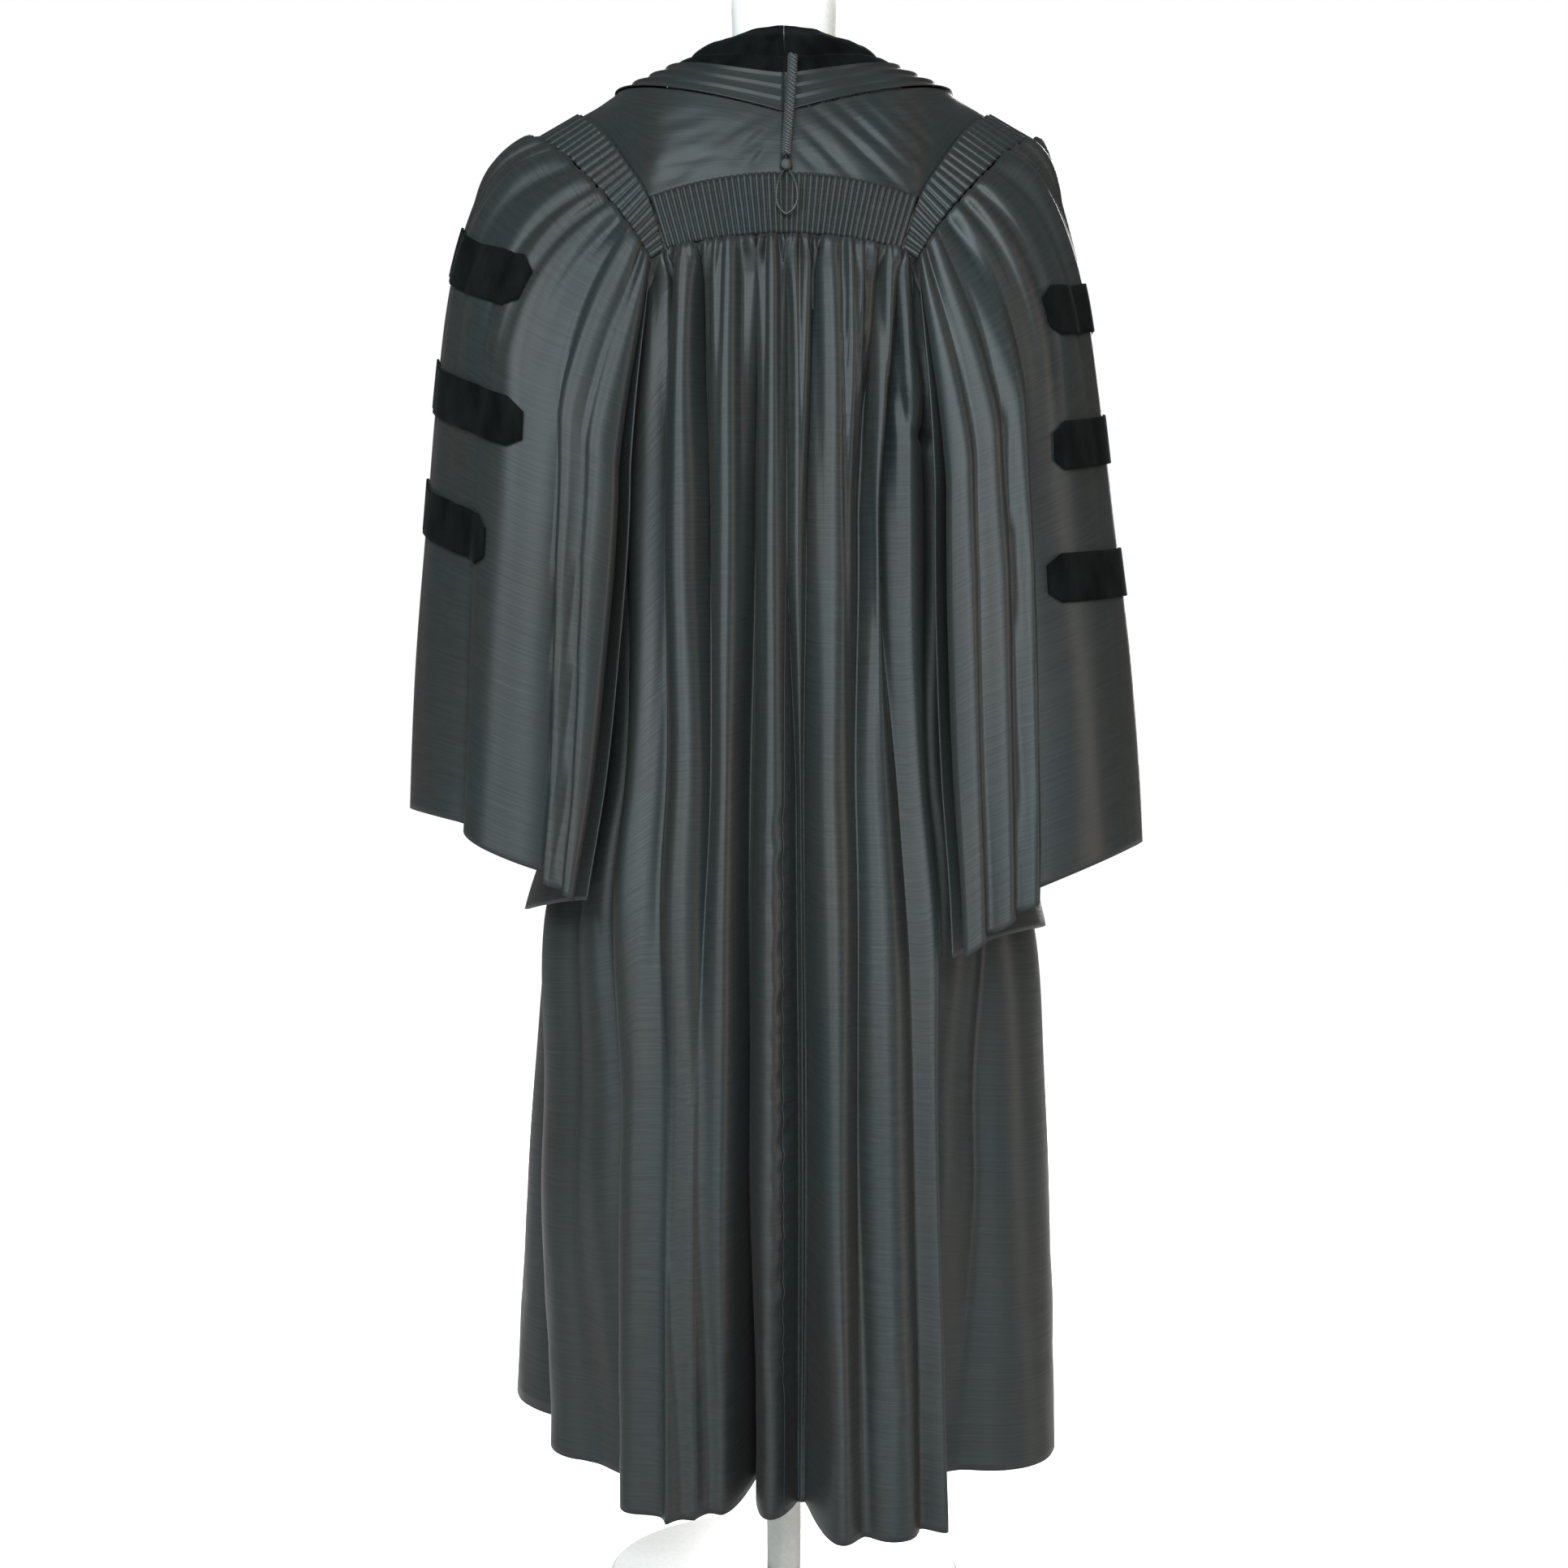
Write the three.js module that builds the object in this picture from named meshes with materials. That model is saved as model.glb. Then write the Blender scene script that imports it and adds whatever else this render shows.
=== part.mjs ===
// Doctoral graduation gown with velvet facings and sleeve bars, on a limbless dress form.
// Millimetres. +Z is up, the gown's back faces -Y and +X is the wearer's right.
import * as THREE from "three";

// Cloth
const SILK = 1.6; // wall of a silk panel
const PILE = 2.2; // wall of a velvet piece
const SEAM = 0.3; // gap between sewn pieces
const RELEASE = 60; // length over which a gathered fold grows to its full depth
const ROLL = 0.7; // fullness of a fold between its valleys, 1 is a plain arch
const SHELL = { z: 1250, half: 200, deep: 140, high: 170 }; // round form that seams point away from

// Gown rings from chest to hem: half width, and depth of the back and of the front
const BODY = [
  { z: 1250, half: 178, back: 150, front: 132 },
  { z: 1120, half: 186, back: 158, front: 140 },
  { z: 1000, half: 180, back: 163, front: 142 },
  { z: 880, half: 180, back: 168, front: 146 },
  { z: 760, half: 195, back: 174, front: 154 },
  { z: 628, half: 236, back: 182, front: 168 },
  { z: 480, half: 249, back: 188, front: 180 },
  { z: 330, half: 256, back: 192, front: 192 },
  { z: 100, half: 262, back: 196, front: 204 },
];
const SQUARE = 2.6; // squareness of a ring, 2 is an ellipse
const HEM_HEIGHT = 151; // height of the hem plane at the axis
const HEM_TILT = 0.22; // how much the hem plane climbs to the front

// Valleys between the gown's folds, in degrees round the body from the centre back,
// at chest, waist, hip, knee and hem. `deep` is each valley's depth under the ring and
// `rise` the height over the ring of the roll that follows it.
const LEVELS = [1216, 983, 733, 430, 110];
const FLAT = [0, 0, 0, 0, 0];
const VALLEYS = [
  { at: [-132, -132, -134, -137, -138], deep: [4, 8, 10, 12, 14], rise: [0, 0, 0, 8, 16] },
  { at: [-95, -95, -94, -92, -90], deep: [2, 6, 10, 30, 48], rise: [0, 0, -4, -24, -40] },
  { at: [-62, -67, -66, -66, -67], deep: [4, 10, 16, 40, 65], rise: [0, -6, -14, -40, -75] },
  { at: [-47.6, -54, -51.7, -47.3, -48.3], deep: [14, 26, 34, 55, 90], rise: [0, 0, 0, -6, -14] },
  { at: [-36.4, -40.2, -36.1, -30.5, -29], deep: [12, 12, 12, 7, 3], rise: [0, 0, 0, -6, -14] },
  { at: [-28.3, -25.5, -22.6, -24, -23.5], deep: [16, 16, 12, 7, 14], rise: [0, 0, 0, -8, -24] },
  { at: [-9.2, -10.2, -11.7, -12.3, -12.6], deep: [12, 16, 22, 48, 100], rise: [0, 0, 0, -6, -18] },
  { at: [0.5, 1, 4.2, 4.9, 5.1], deep: [8, 7, 18, 28, 48], rise: [-3, -3, -16, -27, -47] },
  { at: [10, 7.2, 6.4, 6.8, 7], deep: [11, 9, 17, 27, 47], rise: [0, 0, 0, 10, 26] },
  { at: [31, 25.2, 21.6, 19.6, 19.3], deep: [12, 12, 9, 6, -14], rise: [0, 0, 0, 10, 26] },
  { at: [36.9, 31.3, 33.4, 32, 30.8], deep: [14, 14, 8, 0, -12], rise: [0, 0, 0, 8, 20] },
  { at: [42.7, 50.4, 45.1, 40.4, 39.5], deep: [12, 26, 32, 60, 100], rise: [0, -6, -14, -45, -80] },
  { at: [58, 64, 62, 60, 60], deep: [4, 10, 16, 45, 72], rise: [0, 0, 0, -4, -6] },
  { at: [100, 100, 100, 100, 100], deep: [2, 6, 8, 14, 18], rise: FLAT },
  { at: [132, 132, 134, 137, 138], deep: [4, 8, 10, 12, 14], rise: FLAT },
];

// Rings round the neck, from the centre back to the shoulder line. `bend` shapes the climb:
// 1 makes a V at the centre back, 2 a round curve.
const NECK = { back: 62, zBack: 1460, side: 60, zSide: 1455, bend: 2 };
const VELVET_EDGE = { back: 95, zBack: 1404, side: 112, zSide: 1433, bend: 1.5 };
const TUCK_EDGE = { back: 114, zBack: 1364, side: 160, zSide: 1410, bend: 1 };
const TUCKS = 3; // overlapping tucks beside the velvet
const TUCK_LIFT = 3; // height of a tuck's free edge

// Yoke and armhole of the right side, as points on the seams
const YOKE_CENTRE = [0, -138, 1303]; // lower edge of the yoke at the centre back
const YOKE_CORNER = [122, -123, 1285]; // where that edge meets the armhole
const YOKE_BOW = 6; // how far the yoke stands proud at its middle
const FLUTES_TOP_BOW = 4; // how far the yoke's lower edge bows out between the corners
const ARMHOLE = [
  [107, -135, 1234],
  YOKE_CORNER,
  [146, -93, 1328],
  [172, -52, 1368],
  [197, 0, 1391],
  [180, 48, 1366],
  [163, 80, 1322],
  [151, 92, 1243],
];
const HEAD = [
  [119, -138, 1226],
  [141, -129, 1262],
  [174, -103, 1304],
  [206, -60, 1342],
  [236, -4, 1367],
  [214, 52, 1340],
  [186, 88, 1297],
  [161, 99, 1238],
]; // outer edge of the fluted sleeve head, point for point beside the armhole
const UNDERARM = [
  { angle: 38.3, z: 1235 },
  { angle: 45.3, z: 1185 },
  { angle: 57.9, z: 1145 },
  { angle: 90, z: 1118 },
  { angle: 109.4, z: 1160 },
  { angle: 121.5, z: 1240 },
]; // lower half of the armhole, round the body
const FLUTE_EDGE = { angle: 38.3, zBack: 1245, zSide: 1235 }; // lower edge of the back fluting
const BACK_FLUTES = 44;
const HEAD_FLUTES = 40;
const FLUTE_HEIGHT = 3.4;
const FLUTES_SPAN = 0.985; // share of the yoke's lower edge that the back fluting takes

// Front edges of the right side
const NECKLINE = [
  [60, 0, 1455],
  [57, 36, 1434],
  [46, 70, 1396],
  [26, 98, 1362],
  [SEAM / 2, 116, 1330],
];
const VELVET_FRONT = [
  [112, 0, 1433],
  [112, 44, 1412],
  [112, 82, 1362],
  [112, 104, 1305],
];
const VELVET_WIDTH = 112; // half width of the velvet front
const VELVET_BOW = 3; // how far the velvet stands proud at its middle
const PLEATED = 0.565; // share of a front panel that its tucks take
const PLEAT_END = 700; // height where the front tucks have opened out
const PLEAT_FADE = 400; // length over which they open
const FRONT_EASE = 90; // length over which a front fold grows to its full depth

// Sleeves: how far out each reaches, and the angles where it leaves the back and the front.
// A bar's top edge is given by how far out it starts, and its height there and outside.
const SLEEVE = {
  left: {
    rows: [
      { z: 1300, reach: 294, back: 40, front: 124 },
      { z: 1180, reach: 319, back: 40, front: 126 },
      { z: 1000, reach: 336, back: 39.5, front: 126 },
      { z: 850, reach: 346, back: 42, front: 122 },
      { z: 600, reach: 354, back: 45, front: 118 },
    ],
    hem: { outer: 735, back: 655, front: 690, inner: 640 },
    bars: [
      { edge: 229, back: 1221, outer: 1276 },
      { edge: 229, back: 1094, outer: 1155 },
      { edge: 262, back: 992, outer: 1043 },
    ],
    valleys: [
      { at: [0.055, 0.06, 0.03], deep: [6, 10, 12] },
      { at: [0.12, 0.105, 0.075], deep: [12, 20, 26] },
      { at: [0.26, 0.27, 0.29], deep: [2, 8, 26] },
      { at: [0.66, 0.66, 0.66], deep: [2, 10, 20] },
      { at: [0.85, 0.85, 0.85], deep: [4, 12, 18] },
    ],
  },
  right: {
    rows: [
      { z: 1300, reach: 262, back: 41, front: 124 },
      { z: 1180, reach: 288, back: 40, front: 126 },
      { z: 1000, reach: 312, back: 38.5, front: 126 },
      { z: 850, reach: 329, back: 38, front: 122 },
      { z: 600, reach: 342, back: 37, front: 118 },
    ],
    hem: { outer: 705, back: 605, front: 670, inner: 625 },
    bars: [
      { edge: 233, back: 1202, outer: 1225 },
      { edge: 239, back: 1079, outer: 1103 },
      { edge: 233, back: 960, outer: 978 },
    ],
    valleys: [
      { at: [0.05, 0.06, 0.055], deep: [6, 10, 12] },
      { at: [0.097, 0.127, 0.11], deep: [10, 14, 14] },
      { at: [0.178, 0.175, 0.16], deep: [8, 24, 30] },
      { at: [0.66, 0.66, 0.66], deep: [2, 10, 20] },
      { at: [0.85, 0.85, 0.85], deep: [4, 12, 18] },
    ],
  },
};
const CLEAR = 9; // air between the hanging sleeve and the body
const TIP = 16; // width of the sleeve where its two layers turn
const TIP_LIFT = 22; // how far the sleeve's back edge stands off the body
const BAR_TALL = 44;
const BAR_TO = 0.78; // where the bars end on the front, as a share of the outer layer
const FOLD_EDGE = 0.025; // width of the steep side of the sleeve's third fold
const BAR_CLIP = 0.22; // share of a bar's height cut from each corner
const CAP = 0.22; // share of the sleeve's length that its rounded head takes, on the outside
const BACK_CAP = 0.34; // and at its back and front edges
const SWELL = 2.4; // how fast the head swells out, on the outside
const BACK_SWELL = 1.2;
const ROUND = 0.2; // how full that head is

// Braid, button and loop on the centre back
const BRAID_R = 3.6;
const BUTTON_R = 6;
const BUTTON_THICK = 4.5;
const LOOP_R = 1.2;
const BUTTON_AT = [2, 1310]; // across and up
const BUTTON_SEAT = -140.3; // depth of the yoke's face under the button
const BRAID_ROUTE = [
  [8, -88, 1422],
  [7, -100, 1395],
  [5, -113, 1366],
  [3, -128, 1338],
  [2, -138, 1319],
]; // on the cloth, down the centre back
const LOOP_ROUTE = [
  [-3, -2.2, -5.9],
  [-8, -13, -22],
  [-8, -14, -38],
  [0, -14, -47],
  [9, -14, -38],
  [9, -13, -22],
  [3, -2.2, -5.9],
]; // from the middle of the button's seat

// Dress form
const FORM = [
  { z: 1500, half: 50, back: 50, front: 50 },
  { z: 1452, half: 50, back: 51, front: 50 },
  { z: 1432, half: 58, back: 56, front: 50 },
  { z: 1422, half: 84, back: 62, front: 50 },
  { z: 1406, half: 128, back: 74, front: 54 },
  { z: 1388, half: 162, back: 86, front: 62 },
  { z: 1366, half: 176, back: 96, front: 74 },
  { z: 1320, half: 172, back: 110, front: 94 },
  { z: 1250, half: 150, back: 122, front: 116 },
  { z: 1160, half: 146, back: 118, front: 122 },
  { z: 1030, half: 130, back: 100, front: 108 },
  { z: 860, half: 152, back: 122, front: 116 },
  { z: 770, half: 150, back: 118, front: 112 },
];
const CAP_R = 47;
const CAP_THICK = 6;
const POLE_R = 16;
const BASE_R = 165;
const BASE_THICK = 12;
const BASE_EDGE = 3;

const RAD = Math.PI / 180;
const vec = (p) => new THREE.Vector3(...p);
const clamp = (t) => Math.min(1, Math.max(0, t));
const mix = (a, b, t) => a + (b - a) * t;
const ease = (t) => clamp(t) * clamp(t) * (3 - 2 * clamp(t));

// Smooth value of one column of a table at height z. The rows fall in z.
function column(rows, name, z) {
  let i = 0;
  while (i < rows.length - 2 && z < rows[i + 1].z) i++;
  const slope = (j) => {
    const above = rows[Math.max(j - 1, 0)];
    const below = rows[Math.min(j + 1, rows.length - 1)];
    return (below[name] - above[name]) / (below.z - above.z);
  };
  const step = rows[i + 1].z - rows[i].z;
  const t = clamp((z - rows[i].z) / step);
  const [t2, t3] = [t * t, t * t * t];
  return (
    (2 * t3 - 3 * t2 + 1) * rows[i][name] +
    (t3 - 2 * t2 + t) * step * slope(i) +
    (3 * t2 - 2 * t3) * rows[i + 1][name] +
    (t3 - t2) * step * slope(i + 1)
  );
}

// Value at height z of a list given at the five levels.
function atLevel(list, z) {
  let i = 0;
  while (i < LEVELS.length - 2 && z < LEVELS[i + 1]) i++;
  return mix(list[i], list[i + 1], ease((z - LEVELS[i]) / (LEVELS[i + 1] - LEVELS[i])));
}

// Distance from the axis to a ring of a table, at an angle in degrees from the centre back.
function ringRadius(rows, angle, z) {
  const across = Math.abs(Math.sin(angle * RAD)) / column(rows, "half", z);
  const side = Math.cos(angle * RAD) > 0 ? "back" : "front";
  const along = Math.abs(Math.cos(angle * RAD)) / column(rows, side, z);
  return (across ** SQUARE + along ** SQUARE) ** (-1 / SQUARE);
}

const polar = (r, angle, z) => vec([r * Math.sin(angle * RAD), -r * Math.cos(angle * RAD), z]);

// Height of the upper edge of the body panels.
function topHeight(angle) {
  const a = Math.abs(angle);
  if (a < FLUTE_EDGE.angle) {
    return mix(FLUTE_EDGE.zBack, FLUTE_EDGE.zSide, (a / FLUTE_EDGE.angle) ** 2);
  }
  const i = UNDERARM.findIndex((row) => row.angle >= a);
  if (i < 0) return UNDERARM[UNDERARM.length - 1].z;
  if (i === 0) return UNDERARM[0].z;
  const [low, high] = [UNDERARM[i - 1], UNDERARM[i]];
  return mix(low.z, high.z, (a - low.angle) / (high.angle - low.angle));
}

// How far the cloth lies off its ring: round rolls between sharp valleys.
function foldOut(angle, z) {
  const rows = VALLEYS.map((row) => atLevel(row.at, z));
  const last = rows.length - 1;
  let i = rows.findLastIndex((at) => at <= angle);
  if (i < 0) i = last;
  const next = i === last ? 0 : i + 1;
  const start = rows[i] > angle ? rows[i] - 360 : rows[i];
  const end = i === last ? start + (rows[0] + 360 - rows[last]) : rows[next];
  const t = clamp((angle - start) / (end - start));
  const roll = Math.sin(Math.PI * t) ** ROLL;
  const deep = mix(atLevel(VALLEYS[i].deep, z), atLevel(VALLEYS[next].deep, z), t);
  return roll * atLevel(VALLEYS[i].rise, z) - (1 - roll) * deep;
}

// Height of the hem at an angle: all of it lies in one tilted plane.
function hemHeight(angle) {
  const r = ringRadius(BODY, angle, HEM_HEIGHT) + foldOut(angle, HEM_HEIGHT);
  return HEM_HEIGHT - HEM_TILT * r * Math.cos(angle * RAD);
}

// A point of the gathered body at an angle and height.
function onGown(angle, z) {
  const grown = ease((topHeight(angle) - z) / RELEASE);
  return polar(ringRadius(BODY, angle, z) + grown * foldOut(angle, z), angle, z);
}

// Direction out of the gown, the same for both pieces at a seam.
function outward(p) {
  const up = Math.max(0, p.z - SHELL.z);
  return vec([p.x / SHELL.half ** 2, p.y / SHELL.deep ** 2, up / SHELL.high ** 2]).normalize();
}

// Closed wall behind a grid of points. `closed` joins the last column to the first. `field`
// tells which way is out of the cloth, and the wall follows it at the grid's rim, in the
// whole grid, or nowhere.
function wall(grid, thick, field, { closed = false, follow = "rim" } = {}) {
  const rows = grid.length;
  const cols = grid[0].length;
  const wrap = (c) => (closed ? (c + cols) % cols : Math.min(Math.max(c, 0), cols - 1));
  const normal = (r, c) => {
    const along = grid[Math.min(r + 1, rows - 1)][c].clone().sub(grid[Math.max(r - 1, 0)][c]);
    const across = grid[r][wrap(c + 1)].clone().sub(grid[r][wrap(c - 1)]);
    return across.cross(along).normalize();
  };
  const direction = (r, c) => {
    const rim = r === 0 || r === rows - 1 || (!closed && (c === 0 || c === cols - 1));
    const led = follow === "whole" || (follow === "rim" && rim);
    return led ? field(grid[r][c]) : normal(r, c).multiplyScalar(turn);
  };
  const leans = grid.flatMap((line, r) => line.map((p, c) => normal(r, c).dot(field(p))));
  const turn = leans.reduce((a, b) => a + b) < 0 ? -1 : 1;
  const inner = grid.map((line, r) =>
    line.map((p, c) => p.clone().addScaledVector(direction(r, c), -thick)),
  );
  const points = [...grid.flat(), ...inner.flat()].flatMap((p) => p.toArray());
  const at = (layer, r, c) => layer * rows * cols + r * cols + wrap(c);
  const index = [];
  const quad = (a, b, c, d) => index.push(...(turn > 0 ? [a, c, b, b, c, d] : [a, b, c, b, d, c]));
  const lastCol = closed ? cols : cols - 1;
  for (let r = 0; r < rows - 1; r++) {
    for (let c = 0; c < lastCol; c++) {
      quad(at(0, r, c + 1), at(0, r, c), at(0, r + 1, c + 1), at(0, r + 1, c));
      quad(at(1, r + 1, c), at(1, r, c), at(1, r + 1, c + 1), at(1, r, c + 1));
    }
    if (!closed) {
      quad(at(0, r, 0), at(1, r, 0), at(0, r + 1, 0), at(1, r + 1, 0));
      quad(at(1, r, lastCol), at(0, r, lastCol), at(1, r + 1, lastCol), at(0, r + 1, lastCol));
    }
  }
  for (let c = 0; c < lastCol; c++) {
    quad(at(1, 0, c + 1), at(1, 0, c), at(0, 0, c + 1), at(0, 0, c));
    quad(at(0, rows - 1, c + 1), at(0, rows - 1, c), at(1, rows - 1, c + 1), at(1, rows - 1, c));
  }
  return new THREE.BufferGeometry()
    .setAttribute("position", new THREE.Float32BufferAttribute(points, 3))
    .setIndex(index);
}

const spread = (from, to, n) => Array.from({ length: n + 1 }, (_, i) => mix(from, to, i / n));
const mirror = (grid, side) =>
  grid.map((line) => line.map((p) => vec([side === "left" ? -p.x : p.x, p.y, p.z])));

// Grid between two edges, given as functions of the share along them, a little inside both.
function between(first, second, shares, steps, bulge, gap = SEAM / 2) {
  return steps.map((v) =>
    shares.map((u) => {
      const [a, b] = [first(u), second(u)];
      const trim = gap / a.distanceTo(b);
      const p = a.lerp(b, mix(trim, 1 - trim, v));
      return p.addScaledVector(outward(p), bulge(u, v));
    }),
  );
}

const curve = (points) => {
  const line = new THREE.CatmullRomCurve3(points.map(vec));
  return (share) => line.getPoint(share);
};

// Ring round the neck: share 0 is the centre back and 1 the shoulder line.
const neckRing = (ring) => (share) => {
  const angle = mix(0, 90, share) * RAD;
  const climb = Math.sin(angle) ** ring.bend;
  const x = Math.max(ring.side * Math.sin(angle), SEAM / 2);
  const y = Math.min(-ring.back * Math.cos(angle), -SEAM / 2);
  return vec([x, y, mix(ring.zBack, ring.zSide, climb)]);
};

const armhole = curve(ARMHOLE);
const headEdge = curve(HEAD);
const SHOULDER = 4 / 7; // share of the armhole at the shoulder line
const CORNER = 1 / 7; // share of the armhole at the yoke's corner

// Lower edge of the yoke: along the fluting to the corner, then up the armhole.
function yokeEdge(share) {
  if (share > 0.5) {
    const p = armhole(mix(CORNER, SHOULDER, (share - 0.5) * 2));
    return p.setY(Math.min(p.y, -SEAM / 2));
  }
  const t = share * 2;
  const p = vec(YOKE_CENTRE).lerp(vec(YOKE_CORNER), t);
  p.y = mix(YOKE_CENTRE[1], YOKE_CORNER[1], t * t) - FLUTES_TOP_BOW * t * (1 - t);
  p.z = mix(YOKE_CENTRE[2], YOKE_CORNER[2], t * t);
  return p.setX(Math.max(p.x, SEAM / 2));
}

// Saw-tooth of the tucks across their width.
const tuckSteps = spread(0, TUCKS - 1, TUCKS - 1).flatMap((k) => [
  k / TUCKS + (k ? 0.02 : 0),
  (k + 1) / TUCKS,
]);
const tuckLift = (v) => TUCK_LIFT * (((v * TUCKS - 0.01 + TUCKS) % 1) + 0.01) ** 1.5;

// Angle on the front of a ring where it is a given distance from the centre.
function frontAngle(x, z) {
  let [low, high] = [90, 180];
  for (let i = 0; i < 40; i++) {
    const a = (low + high) / 2;
    if (ringRadius(BODY, a, z) * Math.sin(a * RAD) > x) low = a;
    else high = a;
  }
  return low;
}

const root = new THREE.Group();
const LOOKS = {
  silk: new THREE.MeshStandardMaterial({ color: 0x2b2d2d, roughness: 0.6, metalness: 0 }),
  velvet: new THREE.MeshStandardMaterial({ color: 0x0d0f0f, roughness: 0.95, metalness: 0 }),
  braid: new THREE.MeshStandardMaterial({ color: 0x191a1b, roughness: 0.7, metalness: 0 }),
  jersey: new THREE.MeshStandardMaterial({ color: 0xeeeeea, roughness: 0.9, metalness: 0 }),
  steel: new THREE.MeshStandardMaterial({ color: 0xe9e9e6, roughness: 0.45, metalness: 0 }),
  brass: new THREE.MeshStandardMaterial({ color: 0x8a7445, roughness: 0.35, metalness: 1 }),
};

function add(name, geometry, look) {
  const mesh = new THREE.Mesh(geometry, LOOKS[look]);
  mesh.name = name;
  root.add(mesh);
}

const WHOLE = { follow: "whole" };
const SIDES = ["left", "right"];

// Neck, tucks, yoke and fluted sleeve head of each side
const ARC = spread(0, 1, 12);
for (const side of SIDES) {
  const bowed = (u, v) => YOKE_BOW * Math.sin(Math.PI * v) * Math.sin(Math.PI * clamp(0.2 + 0.8 * u));
  const tucks = between(neckRing(VELVET_EDGE), neckRing(TUCK_EDGE), ARC, tuckSteps, (u, v) =>
    tuckLift(v),
  );
  add(`neck_tucks_${side}`, wall(mirror(tucks, side), SILK, outward, WHOLE), "silk");
  const yoke = between(neckRing(TUCK_EDGE), yokeEdge, spread(0, 1, 20), spread(0, 1, 4), bowed, 2 * SEAM);
  add(`yoke_${side}`, wall(mirror(yoke, side), SILK, outward), "silk");
  const shares = spread(0, 1, HEAD_FLUTES * 2);
  const flutes = between(armhole, headEdge, shares, [0, 1], (u) => {
    return (Math.round(u * HEAD_FLUTES * 2) % 2) * FLUTE_HEIGHT;
  });
  add(`sleeve_fluting_${side}`, wall(mirror(flutes, side), SILK, outward, WHOLE), "silk");
}

// Fluted panel between the yoke and the back panels
const fluteTop = (u) => {
  const p = yokeEdge(Math.abs(u) / 2);
  return u < 0 ? p.setX(-p.x) : p;
};
const fluteFoot = (u) => {
  const angle = u * FLUTE_EDGE.angle;
  const z = topHeight(angle);
  return polar(ringRadius(BODY, angle, z), angle, z);
};
const backFlutes = between(
  fluteTop,
  fluteFoot,
  spread(-FLUTES_SPAN, FLUTES_SPAN, BACK_FLUTES * 2),
  [0, 1],
  (u) => (Math.round((u / FLUTES_SPAN + 1) * BACK_FLUTES) % 2) * FLUTE_HEIGHT,
);
add("back_fluting", wall(backFlutes, SILK, outward, WHOLE), "silk");

// Gathered panel: columns follow the valleys, rows run from the upper edge to the hem.
const DROP = [0, 0.03, 0.08, 0.2, 0.35, 0.5, 0.64, 0.78, 0.9, 1];
function panel(stations, rows) {
  const top = SEAM / 2;
  return rows.map((v) =>
    stations.map((station) => {
      let z = 1000;
      let angle = station(z);
      for (let i = 0; i < 6; i++) {
        angle = station(z);
        z = mix(topHeight(angle) - top, hemHeight(angle), v);
      }
      return onGown(angle, z);
    }),
  );
}
const fixed = (angle) => () => angle;
const valley = (i) => (z) => atLevel(VALLEYS[i].at, z);
function stationsOf(edges, parts) {
  const list = [];
  parts.forEach((n, i) =>
    spread(0, 1, n)
      .slice(0, i === parts.length - 1 ? n + 1 : n)
      .forEach((t) => list.push((z) => mix(edges[i](z), edges[i + 1](z), t))),
  );
  return list;
}
const TRIM = 0.05; // degrees kept clear at a side seam
const MIDDLE = 0.06; // degrees kept clear at the centre back seam
const leftBack = stationsOf(
  [fixed(-90 + TRIM), valley(2), valley(3), valley(4), valley(5), valley(6), fixed(-MIDDLE)],
  [5, 4, 4, 4, 4, 4],
);
const rightBack = stationsOf(
  [fixed(MIDDLE), valley(7), valley(8), valley(9), valley(10), valley(11), valley(12), fixed(90 - TRIM)],
  [1, 2, 5, 3, 4, 4, 5],
);
add("back_panel_left", wall(panel(leftBack, DROP), SILK, outward), "silk");
add("back_panel_right", wall(panel(rightBack, DROP), SILK, outward), "silk");

// Front panels and the velvet facings beside them
const velvetFront = curve(VELVET_FRONT);
const neckline = curve(NECKLINE);
const FRONT_TOP = [0, 0.16, 0.32, 0.5, 0.68, 0.86];
const FRONT_DROP = [1240, 1185, 1118, 1060, 990, 910, 820, 740, 640, 480, 300];
const pleatShares = [...tuckSteps.map((v) => v * PLEATED), 0.72, 0.86, 1];
const [SIDE_ROW, RISE_ROW, FRONT_ROW] = UNDERARM.slice(-3);
const underarmAngle = (z) => {
  if (z <= SIDE_ROW.z) return SIDE_ROW.angle + TRIM;
  const [low, high] = z <= RISE_ROW.z ? [SIDE_ROW, RISE_ROW] : [RISE_ROW, FRONT_ROW];
  return mix(low.angle, high.angle, (z - low.z) / (high.z - low.z));
};
const pleat = (u, z) => {
  const flat = u > PLEATED * 1.001;
  return flat ? 0 : tuckLift(u / PLEATED) * ease((z - PLEAT_END) / PLEAT_FADE);
};
const fullness = (z) => ease((FRONT_DROP[0] - z) / FRONT_EASE);
const edgeTrim = SEAM / VELVET_WIDTH;
const armTrim = 0.03; // share of the front shoulder kept clear of the fluting
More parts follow.
